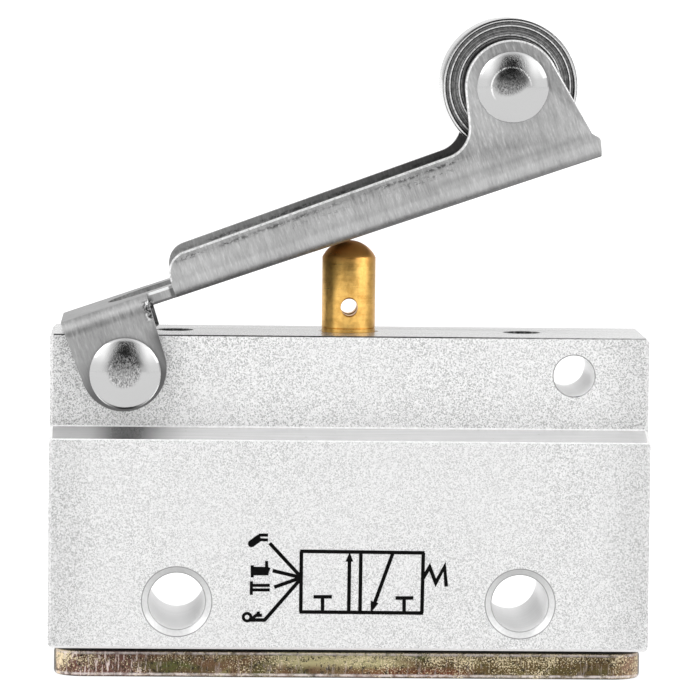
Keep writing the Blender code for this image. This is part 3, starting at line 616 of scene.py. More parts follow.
def bright_nickel():
    """Polished dome, scratched in the middle where a punch has closed it, with a painted dark reflection over
    the scratched middle and a painted highlight ring on the upper side of the roller pin.
    """
    shader = Shader('bright nickel', 0.48, 1.0, 0.08, AT_LEVER)
    marks = shader.noise(2600, 3.0, 0.6)
    scratches = shader.streaks((6200, 3000, 3900), 4.0, 0.7, (0, 0.5, 0))
    # Hinge pin: real scratches with a painted dark reflection in the middle.
    hinge = shader.slope(shader.distance(0.0, 0.0004), 0.0022, 0.0016, kind='SMOOTHSTEP')
    shader.tone = 0.48
    shader.stain(shader.ramp(scratches, (0.36, 0.14), (0.50, 0.32), (0.64, 0.66)), hinge)
    # Roller pin: a darker core, real scratches with a painted dark reflection.
    core = shader.distance(ROLLER_ALONG - 0.0001, ROLLER_ABOVE + 0.0005, 1.6)
    core = shader.times(shader.slope(core, 0.0024, 0.0014, kind='SMOOTHSTEP'),
                        shader.ramp(scratches, (0.42, 1.0), (0.60, 0.3)))
    shader.stain(0.10, core)
    # Painted highlight: a bright ring on the upper side of the roller pin's dome.
    roller = shader.distance(ROLLER_ALONG - 0.0002, ROLLER_ABOVE + 0.0001)
    ring = shader.times(shader.within(roller, 0.00222, 0.00240, 0.00004),
                        shader.slope(shader.axis(2), ROLLER_ABOVE - 0.0008, ROLLER_ABOVE + 0.0006),
                        shader.ramp(scratches, (0.36, 0.2), (0.50, 0.9)))
    shader.stain(0.98, ring)
    worn = shader.maths('MAXIMUM', shader.maths('MAXIMUM', hinge, core), ring)
    rough = shader.mix(worn, shader.ramp(marks, (0.35, 0.06), (0.75, 0.14)),
                       shader.ramp(scratches, (0.35, 0.20), (0.65, 0.40)))
    depth = shader.mix(worn, shader.ramp(marks, (0.4, 0.45), (0.6, 0.55)), scratches)
    for x, z in ((0.0, 0.0), (ROLLER_ALONG, ROLLER_ABOVE)):
        scuff = shader.slope(shader.distance(x + 0.0008, z + 0.0022), 0.0018, 0.0012, 0.0, 0.35)
        depth = shader.mix(scuff, depth, shader.ramp(scratches, (0.44, 0.0), (0.62, 1.0)))
    return shader.done(depth, 0.35, 0.00004, rough)


def turned_steel(name, light, contrast, roughness, lines=()):
    """Turned or ground steel with rings round the roller's axis.

    Each of the lines is (radius, width, brightness) of a ring that stands out.
    """
    shader = Shader(name, light, 1.0, roughness, AT_ROLLER)
    radius = shader.distance(0.0, 0.0)
    rings = shader.add('TexNoise', {'W': radius, 'Scale': 7000, 'Detail': 3.0}, noise_dimensions='1D')
    specks = shader.noise(2600, 3.0, 0.7)
    high, low = min(1.0, light * (1 + 2 * contrast)), light * (1 - contrast)
    shader.tone = shader.mix(0.45, shader.ramp(rings, (0.25, low), (0.5, light), (0.72, high)),
                             shader.ramp(specks, (0.36, low), (0.5, light), (0.64, high)))
    for middle, width, brightness in lines:
        shader.stain(brightness, shader.within(radius, middle - width / 2, middle + width / 2, 0.00003),
                     shader.ramp(specks, (0.36, 0.4), (0.47, 1.0)))
    return shader.done(rings, 0.2, 0.00003)


def brass(name, colour, roughness):
    """Turned brass with faint rings, a slight stain, a browned tip and painted shade on its right side."""
    shader = Shader(name, colour, 1.0, roughness)
    rings = shader.streaks((200, 200, 3600), 3.0, 0.6)
    stain = shader.noise(1100, 4.0, 0.65)
    light = scaled(colour, 1.15)
    dark = (colour[0] * 0.72, colour[1] * 0.62, colour[2] * 0.5)
    shader.tone = shader.mix(0.65, shader.ramp(rings, (0.2, dark), (0.6, light)),
                             shader.ramp(stain, (0.35, dark), (0.58, light)))
    shader.stain((0.92, 0.41, 0.10), shader.slope(shader.axis(2), 0.0478, 0.0492), 0.85)
    # Painted shade: darker brown on the right side (+X).
    shader.stain((0.42, 0.23, 0.06), shader.slope(shader.axis(0), 0.0014, 0.0026), 0.5)
    rough = shader.ramp(rings, (0.3, roughness * 0.85), (0.7, roughness * 1.2))
    return shader.done(stain, 0.12, 0.00005, rough)


def yellow_zinc():
    """Chromated zinc: olive brown that turns purple, pale yellow and red, with light crystals, painted
    highlights along the rounded lower and upper edges and painted shade at the very bottom, the top and the
    ends.
    """
    shader = Shader('yellow zinc', (0.30, 0.24, 0.14), 0.7, 0.36)
    along, up = shader.axis(0), shader.axis(2)
    patches = shader.streaks((170, 260, 330), distortion=0.5)
    shader.tone = shader.ramp(patches, (0.34, (0.075, 0.085, 0.02)), (0.45, (0.10, 0.066, 0.028)),
                              (0.54, (0.13, 0.070, 0.035)), (0.66, (0.20, 0.165, 0.07)))
    left = shader.within(along, -0.0335, -0.0235, 0.003)
    shader.stain((0.15, 0.055, 0.060), left, 0.6)
    shader.stain((0.42, 0.25, 0.19), shader.within(along, 0.0320, 0.037, 0.0008), 0.45)
    shader.stain((0.085, 0.062, 0.015), shader.within(along, 0.012, 0.031, 0.004), 0.55)
    shader.stain((0.56, 0.51, 0.27), shader.within(along, -0.008, 0.006, 0.003),
                 shader.within(up, 0.0014, 0.0040, 0.0005), 0.7)
    shader.stain((0.15, 0.034, 0.018), shader.within(along, 0.001, 0.014, 0.002),
                 shader.within(up, 0.0002, 0.0012, 0.0003), 0.6)
    shader.stain((0.03, 0.022, 0.013), shader.ramp(shader.noise(2100, 4.0, 0.75), (0.40, 0.95), (0.47, 0.0)))
    upper = shader.times(shader.within(up, 0.0018, 0.0040, 0.0006), 0.05)
    clusters = shader.times(shader.maths('ADD', shader.noise(430), shader.noise(120, 1.0)), 0.3)
    crystals = shader.maths('ADD', shader.maths('ADD', shader.noise(5000, 3.0, 0.7), upper), clusters)
    shader.stain((0.76, 0.65, 0.42), shader.ramp(crystals, (0.87, 0.0), (0.93, 0.95)))
    drips = shader.ramp(shader.streaks((3000, 1200, 520), 4.0, 0.7), (0.55, 0.0), (0.63, 0.9))
    shader.stain((0.72, 0.60, 0.56), drips, shader.maths('ADD', shader.times(left, 0.75), 0.25))
    # Painted highlights: light lines along the rounded lower and upper edges.
    rims = shader.maths('ADD', shader.within(up, 0.00022, 0.00050, 0.00008),
                        shader.within(up, 0.00268, 0.00292, 0.00006))
    shader.stain((0.80, 0.72, 0.70), rims, shader.ramp(shader.noise(1500, 3.0), (0.35, 0.15), (0.60, 0.75)))
    shader.stain((0.95, 0.74, 0.50), shader.within(along, -0.0340, -0.0333, 0.0002),
                 shader.ramp(shader.noise(1900, 3.0), (0.38, 0.0), (0.60, 0.75)))
    # Painted shade: near black at the very bottom, at the top in the gap under the block, and at the ends.
    ends = shader.within(shader.maths('ABSOLUTE', along), 0.03405, 0.040, 0.0001)
    sides = shader.maths('SUBTRACT', 1.0, shader.within(up, 0.00012, 0.00298, 0.00006))
    shader.stain((0.02, 0.02, 0.018), shader.maths('MAXIMUM', sides, ends), 0.85)
    return shader.done(crystals, 0.3, 0.00006)


def printed_ink():
    shader = Shader('printed ink', 0.006, 0.0, 0.7)
    shader.set(shader.principled, {'Specular IOR Level': 0.05})
    grain = shader.noise(3800, 3.0)
    shader.tone = shader.ramp(grain, (0.35, 0.001), (0.75, 0.006))
    return shader.done(grain, 0.2, 0.00002)


def grained(name, colour, metallic, roughness):
    """Plain surface with a fine grain, for the small pieces and those inside the block."""
    shader = Shader(name, colour, metallic, roughness)
    grain = shader.noise(2500, 3.0)
    shader.tone = shader.ramp(grain, (0.3, scaled(colour, 0.8)), (0.7, scaled(colour, 1.15)))
    return shader.done(grain, 0.1, 0.00003)


# Block


def thread_profile(radius, low, high, pitch, mouth):
    """Cutter profile of a tapped hole: V grooves at the thread's pitch, mouth end last."""
    points = [(0, low), (radius, low)]
    depth = pitch * 0.42
    count = int((high - low - pitch) / pitch)
    for i in range(count):
        base = low + pitch * (0.5 + i)
        points += [(radius, base), (radius + depth, base + pitch * 0.45),
                   (radius + depth, base + pitch * 0.55), (radius, base + pitch)]
    points += [(radius, high - mouth), (radius + depth + mouth * 0.5, high), (0, high)]
    return points


def block_cutters():
    cutters = []
    for side in (-1, 1):
        cutters.append(through_hole(MOUNT_HOLE_RADIUS, BLOCK_DEPTH / 2, MOUNT_HOLE_CHAMFER,
                                    (side * MOUNT_HOLE_X, 0, MOUNT_HOLE_Z)))
        cutters.append(through_hole(CROSS_HOLE_RADIUS, UPPER_DEPTH / 2, CROSS_HOLE_MOUTH,
                                    (side * CROSS_HOLE_X, 0, CROSS_HOLE_Z)))
        thread = thread_profile(TOP_HOLE_RADIUS, -TOP_HOLE_DEPTH, 0.0001, TOP_THREAD_PITCH, 0.0002)
        cutters.append(turned(thread, SMALL_HOLE_STEPS, 'Z', (side * TOP_HOLE_X, 0, BLOCK_TOP)))
        for y in (-SCREW_Y, SCREW_Y):
            cutters.append(rod(SCREW_HOLE_RADIUS, BLOCK_BASE - 0.001, SCREW_HOLE_TOP, 'Z',
                               (side * SCREW_X, y, 0), 24))
    return cutters + port_cutters() + [bore_cutter()]


def port_cutters():
    cutters = []
    face = BLOCK_LENGTH / 2
    ports = [(-1, SUPPLY_PORT_Z, SUPPLY_PASSAGE_Z), (1, WORKING_PORT_Z, WORKING_PASSAGE_Z)]
    for side, port_z, passage_z in ports:
        profile = thread_profile(PORT_RADIUS, face - PORT_DEPTH, face + 0.0002, PORT_THREAD_PITCH, 0.0008)
        mesh = turned(profile, HOLE_STEPS, 'X')
        if side < 0:
            mesh.transform(Matrix.Rotation(pi, 4, 'Z'))
            mesh.update()
        mesh.transform(Matrix.Translation((0, 0, port_z)))
        cutters.append(mesh)
        inner, outer = CHAMBER_RADIUS - 0.003, face - PORT_DEPTH + 0.003
        low, high = sorted((side * inner, side * outer))
        cutters.append(rod(PASSAGE_RADIUS, low, high, 'X', (0, 0, passage_z), 32))
    return cutters


def bore_cutter():
    past = BLOCK_BASE - 0.001
    mouth = 0.0003
    return turned([
        (0, past), (CHAMBER_RADIUS, past), (CHAMBER_RADIUS, CHAMBER_TOP),
        (SPRING_BORE_RADIUS, CHAMBER_TOP), (SPRING_BORE_RADIUS, SPRING_BORE_TOP),
        (PLUNGER_BORE_RADIUS, SPRING_BORE_TOP), (PLUNGER_BORE_RADIUS, BLOCK_TOP - mouth),
        (PLUNGER_BORE_RADIUS + 2 * mouth, BLOCK_TOP + mouth), (0, BLOCK_TOP + mouth)], HOLE_STEPS)


# Numbers of the block's materials
LOWER, UPPER, SHOULDER, TOP, BORE, THREAD, BURR, CHAMFER, LIGHT_EDGE, PORT = range(10)


def block_zone(centre, normal):
    """Number of the material of a face of the block, from its place and the way it looks."""
    close = 0.0001
    x, y, z = abs(centre.x), abs(centre.y), centre.z
    endwards, outwards = abs(normal.x), abs(normal.y)
    if outwards > 0.99 and abs(y - BLOCK_DEPTH / 2) < close:
        return LOWER
    if outwards > 0.99 and abs(y - UPPER_DEPTH / 2) < close:
        return UPPER
    if SHOULDER_OUTER - close < z < SHOULDER_INNER + close and y > UPPER_DEPTH / 2 - close:
        return SHOULDER if normal.z > 0.9 else LIGHT_EDGE
    if normal.z > 0.99 and abs(z - BLOCK_TOP) < close:
        return TOP
    if endwards > 0.6 and x > BLOCK_LENGTH / 2 - END_EDGE - close:
        return LOWER
    if endwards < 0.01 and normal.z > 0.5 and z > BLOCK_TOP - 2 * TOP_EDGE:
        return BURR
    if outwards > 0.5 and y > BLOCK_DEPTH / 2 - MOUNT_HOLE_CHAMFER:
        return CHAMFER
    mouth = CROSS_HOLE_RADIUS + 0.0004
    in_upper_wall = UPPER_DEPTH / 2 - 0.0003 < y < UPPER_DEPTH / 2 + close
    if in_upper_wall and abs(x - CROSS_HOLE_X) < mouth and abs(z - CROSS_HOLE_Z) < mouth:
        return BURR
    in_top_hole = abs(x - TOP_HOLE_X) < TOP_HOLE_RADIUS + 0.0006 and y < 0.003
    if in_top_hole and z > BLOCK_TOP - TOP_HOLE_DEPTH - close:
        return THREAD
    in_port = x > BLOCK_LENGTH / 2 - PORT_DEPTH - close and y < PORT_RADIUS + 0.001
    if in_port and SUPPLY_PORT_Z - 0.007 < z < WORKING_PORT_Z + 0.007:
        return PORT
    if z < BLOCK_BASE + BOTTOM_EDGE + close and y > BLOCK_DEPTH / 2 - 0.0006:
        return LOWER
    return BORE


def build_block(materials):
    lower, upper = BLOCK_DEPTH / 2, UPPER_DEPTH / 2
    section = [(-lower, BLOCK_BASE), (lower, BLOCK_BASE), (lower, SHOULDER_OUTER), (upper, SHOULDER_INNER),
               (upper, BLOCK_TOP), (-upper, BLOCK_TOP), (-upper, SHOULDER_INNER), (-lower, SHOULDER_OUTER)]
    mesh = prism(section, -BLOCK_LENGTH / 2, BLOCK_LENGTH / 2, endways)
    end = BLOCK_LENGTH / 2 - 1e-5

    def runs_along(edge):
        a, b = (vertex.co for vertex in edge.verts)
        return abs(a.x - b.x) > 0.06

    def at_end(edge):
        a, b = (vertex.co.x for vertex in edge.verts)
        return abs(a) > end and abs(a - b) < 1e-5

    bevelled(mesh, END_EDGE, at_end)
    for width, z in ((TOP_EDGE, BLOCK_TOP), (BOTTOM_EDGE, BLOCK_BASE), (SHOULDER_EDGE, SHOULDER_OUTER),
                     (SHOULDER_FOOT, SHOULDER_INNER)):
        bevelled(mesh, width, lambda edge, z=z: runs_along(edge)
                 and all(abs(vertex.co.z - z) < 1e-5 for vertex in edge.verts))
    mesh = cleaned(combined(mesh, block_cutters(), 'DIFFERENCE'))
    keys = ('lower', 'upper', 'shoulder', 'top', 'bore', 'thread', 'burr', 'chamfer', 'light_edge', 'port')
    block = add_piece('block', mesh, 'block', [materials[key] for key in keys], zone=block_zone)
    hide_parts('valve_body')


def build_plate(material):
    half_x, half_y = PLATE_LENGTH / 2, PLATE_DEPTH / 2
    outline = []
    for quarter, (x, y) in enumerate(((1, 1), (-1, 1), (-1, -1), (1, -1))):
        centre = (x * (half_x - PLATE_CORNER), y * (half_y - PLATE_CORNER))
        start = quarter * pi / 2
        outline += arc(centre, PLATE_CORNER, start, start + pi / 2)
    mesh = prism(outline, 0, PLATE_THICKNESS, upright)

    def outer_edge(edge):
        a, b = (vertex.co for vertex in edge.verts)
        return abs(a.z - b.z) < 1e-7

    bevelled(mesh, PLATE_EDGE, outer_edge, 3)
    slope = SCREW_SINK_RADIUS - SCREW_HOLE_RADIUS
    sinks = [turned([(0, -0.001), (SCREW_SINK_RADIUS + 0.001, -0.001), (SCREW_HOLE_RADIUS, slope),
                     (SCREW_HOLE_RADIUS, 0.004), (0, 0.004)], SMALL_HOLE_STEPS, 'Z', (x, y, 0))
             for x in (-SCREW_X, SCREW_X) for y in (-SCREW_Y, SCREW_Y)]
    mesh = cleaned(combined(mesh, sinks, 'DIFFERENCE'))
    plate = add_piece('plate', mesh, 'block', [material], smooth=40)
    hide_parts('bottom_plate')


# Printed circuit symbol: points are (X, Z) in millimetres on the front face
INK_WIDTH = 0.42
THIN_INK_WIDTH = 0.36
INK_HEIGHT = 0.00002
FRAME_LINES = [
    [(-5.70, 14.95), (8.79, 14.87)], [(8.64, 14.87), (8.55, 7.82)], [(8.70, 7.82), (-5.71, 7.86)],
    [(-5.56, 7.86), (-5.55, 14.95)], [(1.37, 14.91), (1.34, 7.84)],
    [(0.03, 7.90), (0.05, 14.0)], [(-3.02, 7.88), (-3.04, 9.64)], [(-4.09, 9.64), (-1.95, 9.65)],
    [(6.48, 7.91), (6.46, 9.57)], [(5.46, 9.56), (7.54, 9.58)], [(5.10, 14.85), (3.01, 8.9)],
    [(8.64, 11.9), (9.40, 13.22), (10.13, 11.36), (11.13, 13.27), (11.35, 10.95)],
    [(-9.25, 15.87), (-5.60, 11.98)], [(-8.87, 12.66), (-5.60, 11.90)], [(-8.67, 10.73), (-5.60, 11.86)],
    [(-5.60, 11.72), (-9.75, 6.88), (-11.44, 6.87)]]
ARROWHEADS = [[(0.06, 14.86), (-0.41, 13.78), (0.50, 13.78)], [(2.60, 7.80), (2.56, 9.24), (3.50, 8.96)]]
BUTTON_LINES = [
    [(-11.25, 13.27), (-11.25, 11.85)], [(-11.1, 12.92), (-9.35, 12.92)], [(-11.1, 12.60), (-9.30, 12.60)],
    [(-11.1, 12.28), (-9.35, 12.28)], [(-9.59, 13.79), (-9.58, 12.95), (-9.18, 12.80)],
    [(-11.33, 11.40), (-11.33, 9.80)], [(-11.33, 10.92), (-9.19, 10.94)], [(-11.33, 10.39), (-9.19, 10.40)],
    [(-10.54, 16.80), (-9.45, 16.82)], [(-10.30, 16.27), (-9.45, 16.24)],
    [(-11.27, 7.02), (-10.47, 7.62)], [(-10.51, 7.86), (-10.43, 7.30)], [(-10.91, 7.38), (-10.07, 7.43)]]


def ink_prism(points):
    face = -BLOCK_DEPTH / 2
    outline = [(x / 1000, z / 1000) for x, z in points]
    return prism(outline, face - INK_HEIGHT, face + INK_HEIGHT, across)


def stroke(points, width):
    """Outline of a line of constant width through some points, with mitred corners."""
    path = [Vector(point) for point in points]
    left, right = [], []
    for i, point in enumerate(path):
        before = (point - path[i - 1]).normalized() if i else (path[1] - point).normalized()
        after = (path[i + 1] - point).normalized() if i < len(path) - 1 else before
        along = (before + after).normalized()
        side = Vector((-along.y, along.x)) * (width / 2 / max(0.35, along.dot(after)))
        left.append(point + side)
        right.append(point - side)
    return left + right[::-1]


def disc(centre, radius):
    return ink_prism(arc(centre, radius, 0, 2 * pi - 0.2, 0.4))


def build_symbol(material):
    shapes = [ink_prism(stroke(line, INK_WIDTH)) for line in FRAME_LINES]
    shapes += [ink_prism(stroke(line, THIN_INK_WIDTH)) for line in BUTTON_LINES]
    shapes += [ink_prism(points) for points in ARROWHEADS]
    shapes.append(ink_prism(stroke([(-11.36, 15.80), (-10.35, 16.55)], 0.84)))
    shapes.append(disc((-11.36, 15.80), 0.42))
    ring = (-11.80, 7.20)
    shapes.append(disc(ring, 0.62))
    mesh = combined(shapes[0], shapes[1:], 'UNION')
    hole = prism([(x / 1000, z / 1000) for x, z in arc(ring, 0.27, 0, 2 * pi - 0.2, 0.4)],
                 -0.02, 0, across)
    mesh = cleaned(combined(mesh, [hole], 'DIFFERENCE'))
    add_piece('circuit_symbol', mesh, 'block', [material], smooth=0)


# Plunger


def build_plunger(material):
    low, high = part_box('plunger')
    sphere = (PLUNGER_RADIUS ** 2 + PLUNGER_DOME ** 2) / (2 * PLUNGER_DOME)
    edge = asin(PLUNGER_RADIUS / sphere)
    flange_low, flange_high = 0.0287, 0.0304
    profile = [(PLUNGER_CORE, low.z), (STEM_RADIUS, low.z), (STEM_RADIUS, flange_low),
               (FLANGE_RADIUS, flange_low), (FLANGE_RADIUS, flange_high), (PLUNGER_RADIUS, flange_high)]
    groove = BLOCK_TOP + 0.00045
    profile += [(PLUNGER_RADIUS, groove - 0.00006), (PLUNGER_RADIUS - 0.00007, groove),
                (PLUNGER_RADIUS, groove + 0.00006)]
    steps = 16
    for i in range(steps):
        angle = edge * (1 - i / steps)
        profile.append((sphere * sin(angle), high.z - sphere + sphere * cos(angle)))
    profile += [(0, high.z), (0, PLUNGER_HOLE_Z), (PLUNGER_CORE, PLUNGER_HOLE_Z)]
    hole = through_hole(PLUNGER_HOLE_RADIUS, PLUNGER_RADIUS, PLUNGER_HOLE_MOUTH, (0, 0, PLUNGER_HOLE_Z),
                        SMALL_HOLE_STEPS)
    mesh = combined(turned(profile), [hole], 'DIFFERENCE')
    plunger = add_piece('plunger_pin', mesh, 'plunger', [material], smooth=28)
    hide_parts('plunger')


def build_springs(material):
    """Smooth-shaded coils of the CAD springs, riding on the block."""
    for name, node, joint, travel in (('plunger_coil', 'plunger_spring', 'plunger_slide', PLUNGER_TRAVEL),
                                      ('poppet_coil', 'poppet_spring', 'poppet_slide', POPPET_TRAVEL)):
        coil = add_piece(name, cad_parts[node].data.copy(), 'block', [material], smooth=60)
        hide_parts(node)
        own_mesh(coil)


# Lever


def lever_point(along, above):
    return (along, above + PIVOT_BELOW_WEB)


def channel_section(upward):
    """Section of the bent sheet as (across, height) points."""
    inner_bend = BEND_RADIUS - SHEET
    reach = ROLLER_ABOVE + EAR_RADIUS
    centre = LEVER_OUTER - BEND_RADIUS
    outer_side = arc((centre, BEND_RADIUS), BEND_RADIUS, -pi / 2, 0)
    inner_side = arc((centre, BEND_RADIUS), inner_bend, 0, -pi / 2, radians(12))
    right = outer_side + [(LEVER_OUTER, reach), (LEVER_INNER, reach)] + inner_side
    section = right + [(-a, b) for a, b in reversed(right)]
    if upward:
        return [(a, b + PIVOT_BELOW_WEB) for a, b in section]
    return [(a, SHEET - b + PIVOT_BELOW_WEB) for a, b in section]


def front_outline():
    """Side view of the front channel with its roller ear."""
    ear = Vector((ROLLER_ALONG, ROLLER_ABOVE - PIVOT_BELOW_WEB))
    foot = Vector((ROLLER_ALONG - EAR_FOOT_REACH, CHEEK_HEIGHT_FRONT + EAR_FOOT_RADIUS))
    span = ear - foot
    lean = atan2(span.y, span.x) - acos((EAR_RADIUS + EAR_FOOT_RADIUS) / span.length)
    side = Vector((cos(EAR_LEAN), sin(EAR_LEAN)))
    tangent = ear + side * EAR_RADIUS
    heel_height = TOE_HEIGHT + 1.4 * TOE_ROUND
    heel = tangent.x + (tangent.y - heel_height) * tan(EAR_LEAN)
    corner = (CHANNEL_START + CHEEK_CORNER, CHEEK_HEIGHT_REAR - CHEEK_CORNER)
    points = [(CHANNEL_START, 0), (TOE_REACH, 0)]
    points += arc((TOE_REACH + TOE_LEAN - TOE_ROUND, TOE_HEIGHT), TOE_ROUND, 0, pi / 3)
    points += [(heel, heel_height)]
    points += arc(ear, EAR_RADIUS, EAR_LEAN, lean + pi)
    points += arc(foot, EAR_FOOT_RADIUS, lean, -pi / 2)
    points += arc(corner, CHEEK_CORNER, pi / 2, pi)
    return [lever_point(a, b) for a, b in points]


def rear_outline():
    points = [(BRACKET_FRONT, SHEET), (-BRACKET_REAR, SHEET)]
    points += arc((0, BRACKET_END_RISE - PIVOT_BELOW_WEB), BRACKET_END_RADIUS, pi, 2 * pi)
    return [lever_point(a, b) for a, b in points]


def rear_stop_outline():
    centre = (-BRACKET_REAR + WEB_REAR_ROUND, WEB_REAR_ROUND)
    past = -BRACKET_REAR - WEB_REAR_ROUND
    points = [(past, WEB_REAR_ROUND), (past, -WEB_REAR_ROUND), (centre[0], -WEB_REAR_ROUND)]
    points += arc(centre, WEB_REAR_ROUND, -pi / 2, -pi, radians(15))
    return [lever_point(a, b) for a, b in points]


def window_outline():
    half = WINDOW_WIDTH / 2
    points = [(WINDOW_END, -half), (WINDOW_END, half)]
    return points + arc((WINDOW_START + half, 0), half, pi / 2, 3 * pi / 2)


def cheek_edge(edge):
    """Whether an edge runs along the outer upper rim of a cheek, from its rear corner to the heel."""
    close = 1e-5
    for vertex in edge.verts:
        along, sideways, height = vertex.co.x, abs(vertex.co.y), vertex.co.z - PIVOT_BELOW_WEB
        lowest = TOE_HEIGHT + 1.4 * TOE_ROUND if along > ROLLER_ALONG else BEND_RADIUS
        to_roller = Vector((along - ROLLER_ALONG, vertex.co.z - ROLLER_ABOVE)).length
        inner = sideways < LEVER_OUTER - close or along < CHANNEL_START - close or height < lowest - close
        if inner or to_roller < RIVET_RADIUS + 0.001:
            return False
    turns = [abs(face.normal.y) for face in edge.link_faces]
    return min(turns) < 0.01 and max(turns) > 0.99


def sheet_zone(centre, normal):
    """2 on the cheeks' rounded rims, 1 on the other cut edges of the sheet and 0 on its faces."""
    in_channel = centre.x > CHANNEL_START and centre.z > PIVOT_BELOW_WEB + BEND_RADIUS
    if in_channel and 0.1 < abs(normal.y) < 0.98 and abs(centre.y) > LEVER_OUTER - CHEEK_EDGE:
        return 2
    on_cheek = abs(centre.y) > LEVER_INNER - 0.0002
    if on_cheek and abs(normal.y) < 0.3 and abs(abs(centre.y) - (LEVER_INNER + LEVER_OUTER) / 2) < 0.0004:
        return 1
    if not on_cheek and abs(normal.z) < 0.3 and abs(normal.y) < 0.95:
        return 1
    return 0


def build_lever(faces, edges, rims):
    wide = LEVER_OUTER + SHEET
    reach = ROLLER_ALONG + 2 * EAR_RADIUS
    channel = prism(channel_section(True), CHANNEL_START, reach, endways)
    lever = combined(channel, [prism(front_outline(), -wide, wide, across)], 'INTERSECT')
    bracket = prism(channel_section(False), -2 * BRACKET_REAR, BRACKET_FRONT, endways)
    bracket = combined(bracket, [prism(rear_outline(), -wide, wide, across)], 'INTERSECT')
    bracket = combined(bracket, [prism(rear_stop_outline(), -LEVER_INNER, LEVER_INNER, across)], 'DIFFERENCE')
    half = LEVER_OUTER - BEND_RADIUS - NECK_RELIEF
    low, high = BRACKET_FRONT - SHEET, CHANNEL_START + SHEET
    neck = prism([(low, -half), (high, -half), (high, half), (low, half)], PIVOT_BELOW_WEB,
                 PIVOT_BELOW_WEB + SHEET, upright)
    lever = combined(lever, [bracket, neck], 'UNION')
    hole = RIVET_RADIUS + RIVET_GAP
    cuts = [prism(window_outline(), 0, PIVOT_BELOW_WEB + 2 * SHEET, upright),
            rod(hole, -wide, wide, 'Y', (0, 0, 0)), rod(hole, -wide, wide, 'Y', ROLLER_CENTRE)]
    lever = cleaned(combined(lever, cuts, 'DIFFERENCE'))
    bevelled(lever, CHEEK_EDGE, cheek_edge, 2, False)
    piece = add_piece('lever_sheet', lever, 'lever', [faces, edges, rims], AT_LEVER,
                      zone=sheet_zone)
    round_edges(piece, SHEET_EDGE, 3)
    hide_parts('lever_arm')


def rivet_mesh(place):
    base = LEVER_OUTER + RIVET_GAP
    rim = RIVET_HEAD_RIM
    fillet = 0.00012
    dome = RIVET_HEAD_HEIGHT - rim
    sphere = (RIVET_HEAD_RADIUS ** 2 + dome ** 2) / (2 * dome)
    edge = asin((RIVET_HEAD_RADIUS - fillet) / sphere)
    half = [(RIVET_RADIUS, base), (RIVET_HEAD_RADIUS - fillet, base), (RIVET_HEAD_RADIUS, base + fillet),
            (RIVET_HEAD_RADIUS, base + rim - fillet / 2)]
    steps = 20
    for i in range(steps):
        angle = edge * (1 - i / steps)
        half.append((sphere * sin(angle), base + RIVET_HEAD_HEIGHT - sphere + sphere * cos(angle)))
    half.append((0, base + RIVET_HEAD_HEIGHT))
    mirrored = [(radius, -height) for radius, height in reversed(half)]
    return turned(mirrored + half, ROUND_STEPS, 'Y', place)


def build_rivets(material):
    for name, node, place in (('hinge_pin', 'hinge_rivet', (0, 0, 0)),
                              ('roller_pin', 'roller_axle', ROLLER_CENTRE)):
        rivet = add_piece(name, rivet_mesh(place), 'lever', [material], AT_LEVER, smooth=40)
        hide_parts(node)


def build_spacers(material):
    for name, node in (('front_collar', 'roller_spacer_front'), ('back_collar', 'roller_spacer_back')):
        low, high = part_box(node)
        bore, radius, edge = RIVET_RADIUS + RIVET_GAP, (high.x - low.x) / 2, 0.0002
        profile = [(bore, low.y), (radius - edge, low.y), (radius, low.y + edge), (radius, high.y - edge),
                   (radius - edge, high.y), (bore, high.y)]
        collar = add_piece(name, turned(profile, ROUND_STEPS, 'Y', ROLLER_CENTRE), 'lever',
                           [material], AT_LEVER)
        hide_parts(node)


def roller_zone(centre, normal):
    """0 on the tread and the bright rims, 1 on the turned faces."""
    radius = hypot(centre.x, centre.z)
    return 0 if radius > ROLLER_RIM else 1


def build_roller(tread, face):
    # From the bore outwards, as (radius, depth below the face)
    steps = ((0.0035, 0.0002), (0.0037, 0), (0.0047, 0), (0.0048, 0.0002), (0.0050, 0.0002), (0.0051, 0),
             (0.0053, 0), (0.0054, 0.0006), (0.00585, 0.0006), (0.0059, 0), (0.00595, 0), (0.00600, 0.00012),
             (0.00695, 0.00012), (0.0070, 0), (0.00710, 0), (0.00713, 0.0004), (0.00743, 0.0004),
             (0.00746, 0.00005), (0.0076, 0), (0.00772, 0), (0.00785, 0.00006), (ROLLER_RADIUS, 0.00018))
    profile = [(radius, ROLLER_HALF - depth) for radius, depth in steps]
    other = [(radius, -height) for radius, height in reversed(profile)]
    roller = add_piece('roller_wheel', turned(profile + other, 144, 'Y'), 'roller', [tread, face],
                       AT_ROLLER, smooth=25, zone=roller_zone)
    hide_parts('roller')


# CAD nodes that stay, with their materials


def dress_nodes(materials):
    dressing = {'rubber': ('cover_oring', 'seat_oring', 'poppet_seal', 'plunger_oring'),
                'inner_brass': ('seat_insert', 'seat_sleeve', 'poppet', 'guide_bush'),
                'screw': ('plate_screw_1', 'plate_screw_2', 'plate_screw_3', 'plate_screw_4'),
                'bush': ('roller_bush',)}
    for material, nodes in dressing.items():
        for node in nodes:
            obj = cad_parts[node]
            for slot in obj.material_slots:
                slot.material = materials[material]
    for node in dressing['screw']:
        round_edges(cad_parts[node], 0.0001)


# Camera, lights and floor


def build_camera():
    place = Vector((-0.020459, -0.678842, 0.087232))
    yaw, pitch, roll = radians(1.746), radians(4.184), radians(0.607)
    forward = Vector((sin(yaw) * cos(pitch), cos(yaw) * cos(pitch), -sin(pitch)))
    level = Vector((cos(yaw), -sin(yaw), 0))
    upward = level.cross(forward)
    right = level * cos(roll) + upward * sin(roll)
    top = upward * cos(roll) - level * sin(roll)
    data = bpy.data.cameras.new('camera')
    data.lens = 296.323
    data.sensor_width = 36
    data.clip_start = 0.01
    camera = linked('camera', data)
    matrix = Matrix((right, top, -forward)).transposed().to_4x4()
    matrix.translation = place
    camera.matrix_world = matrix
    bpy.context.scene.camera = camera


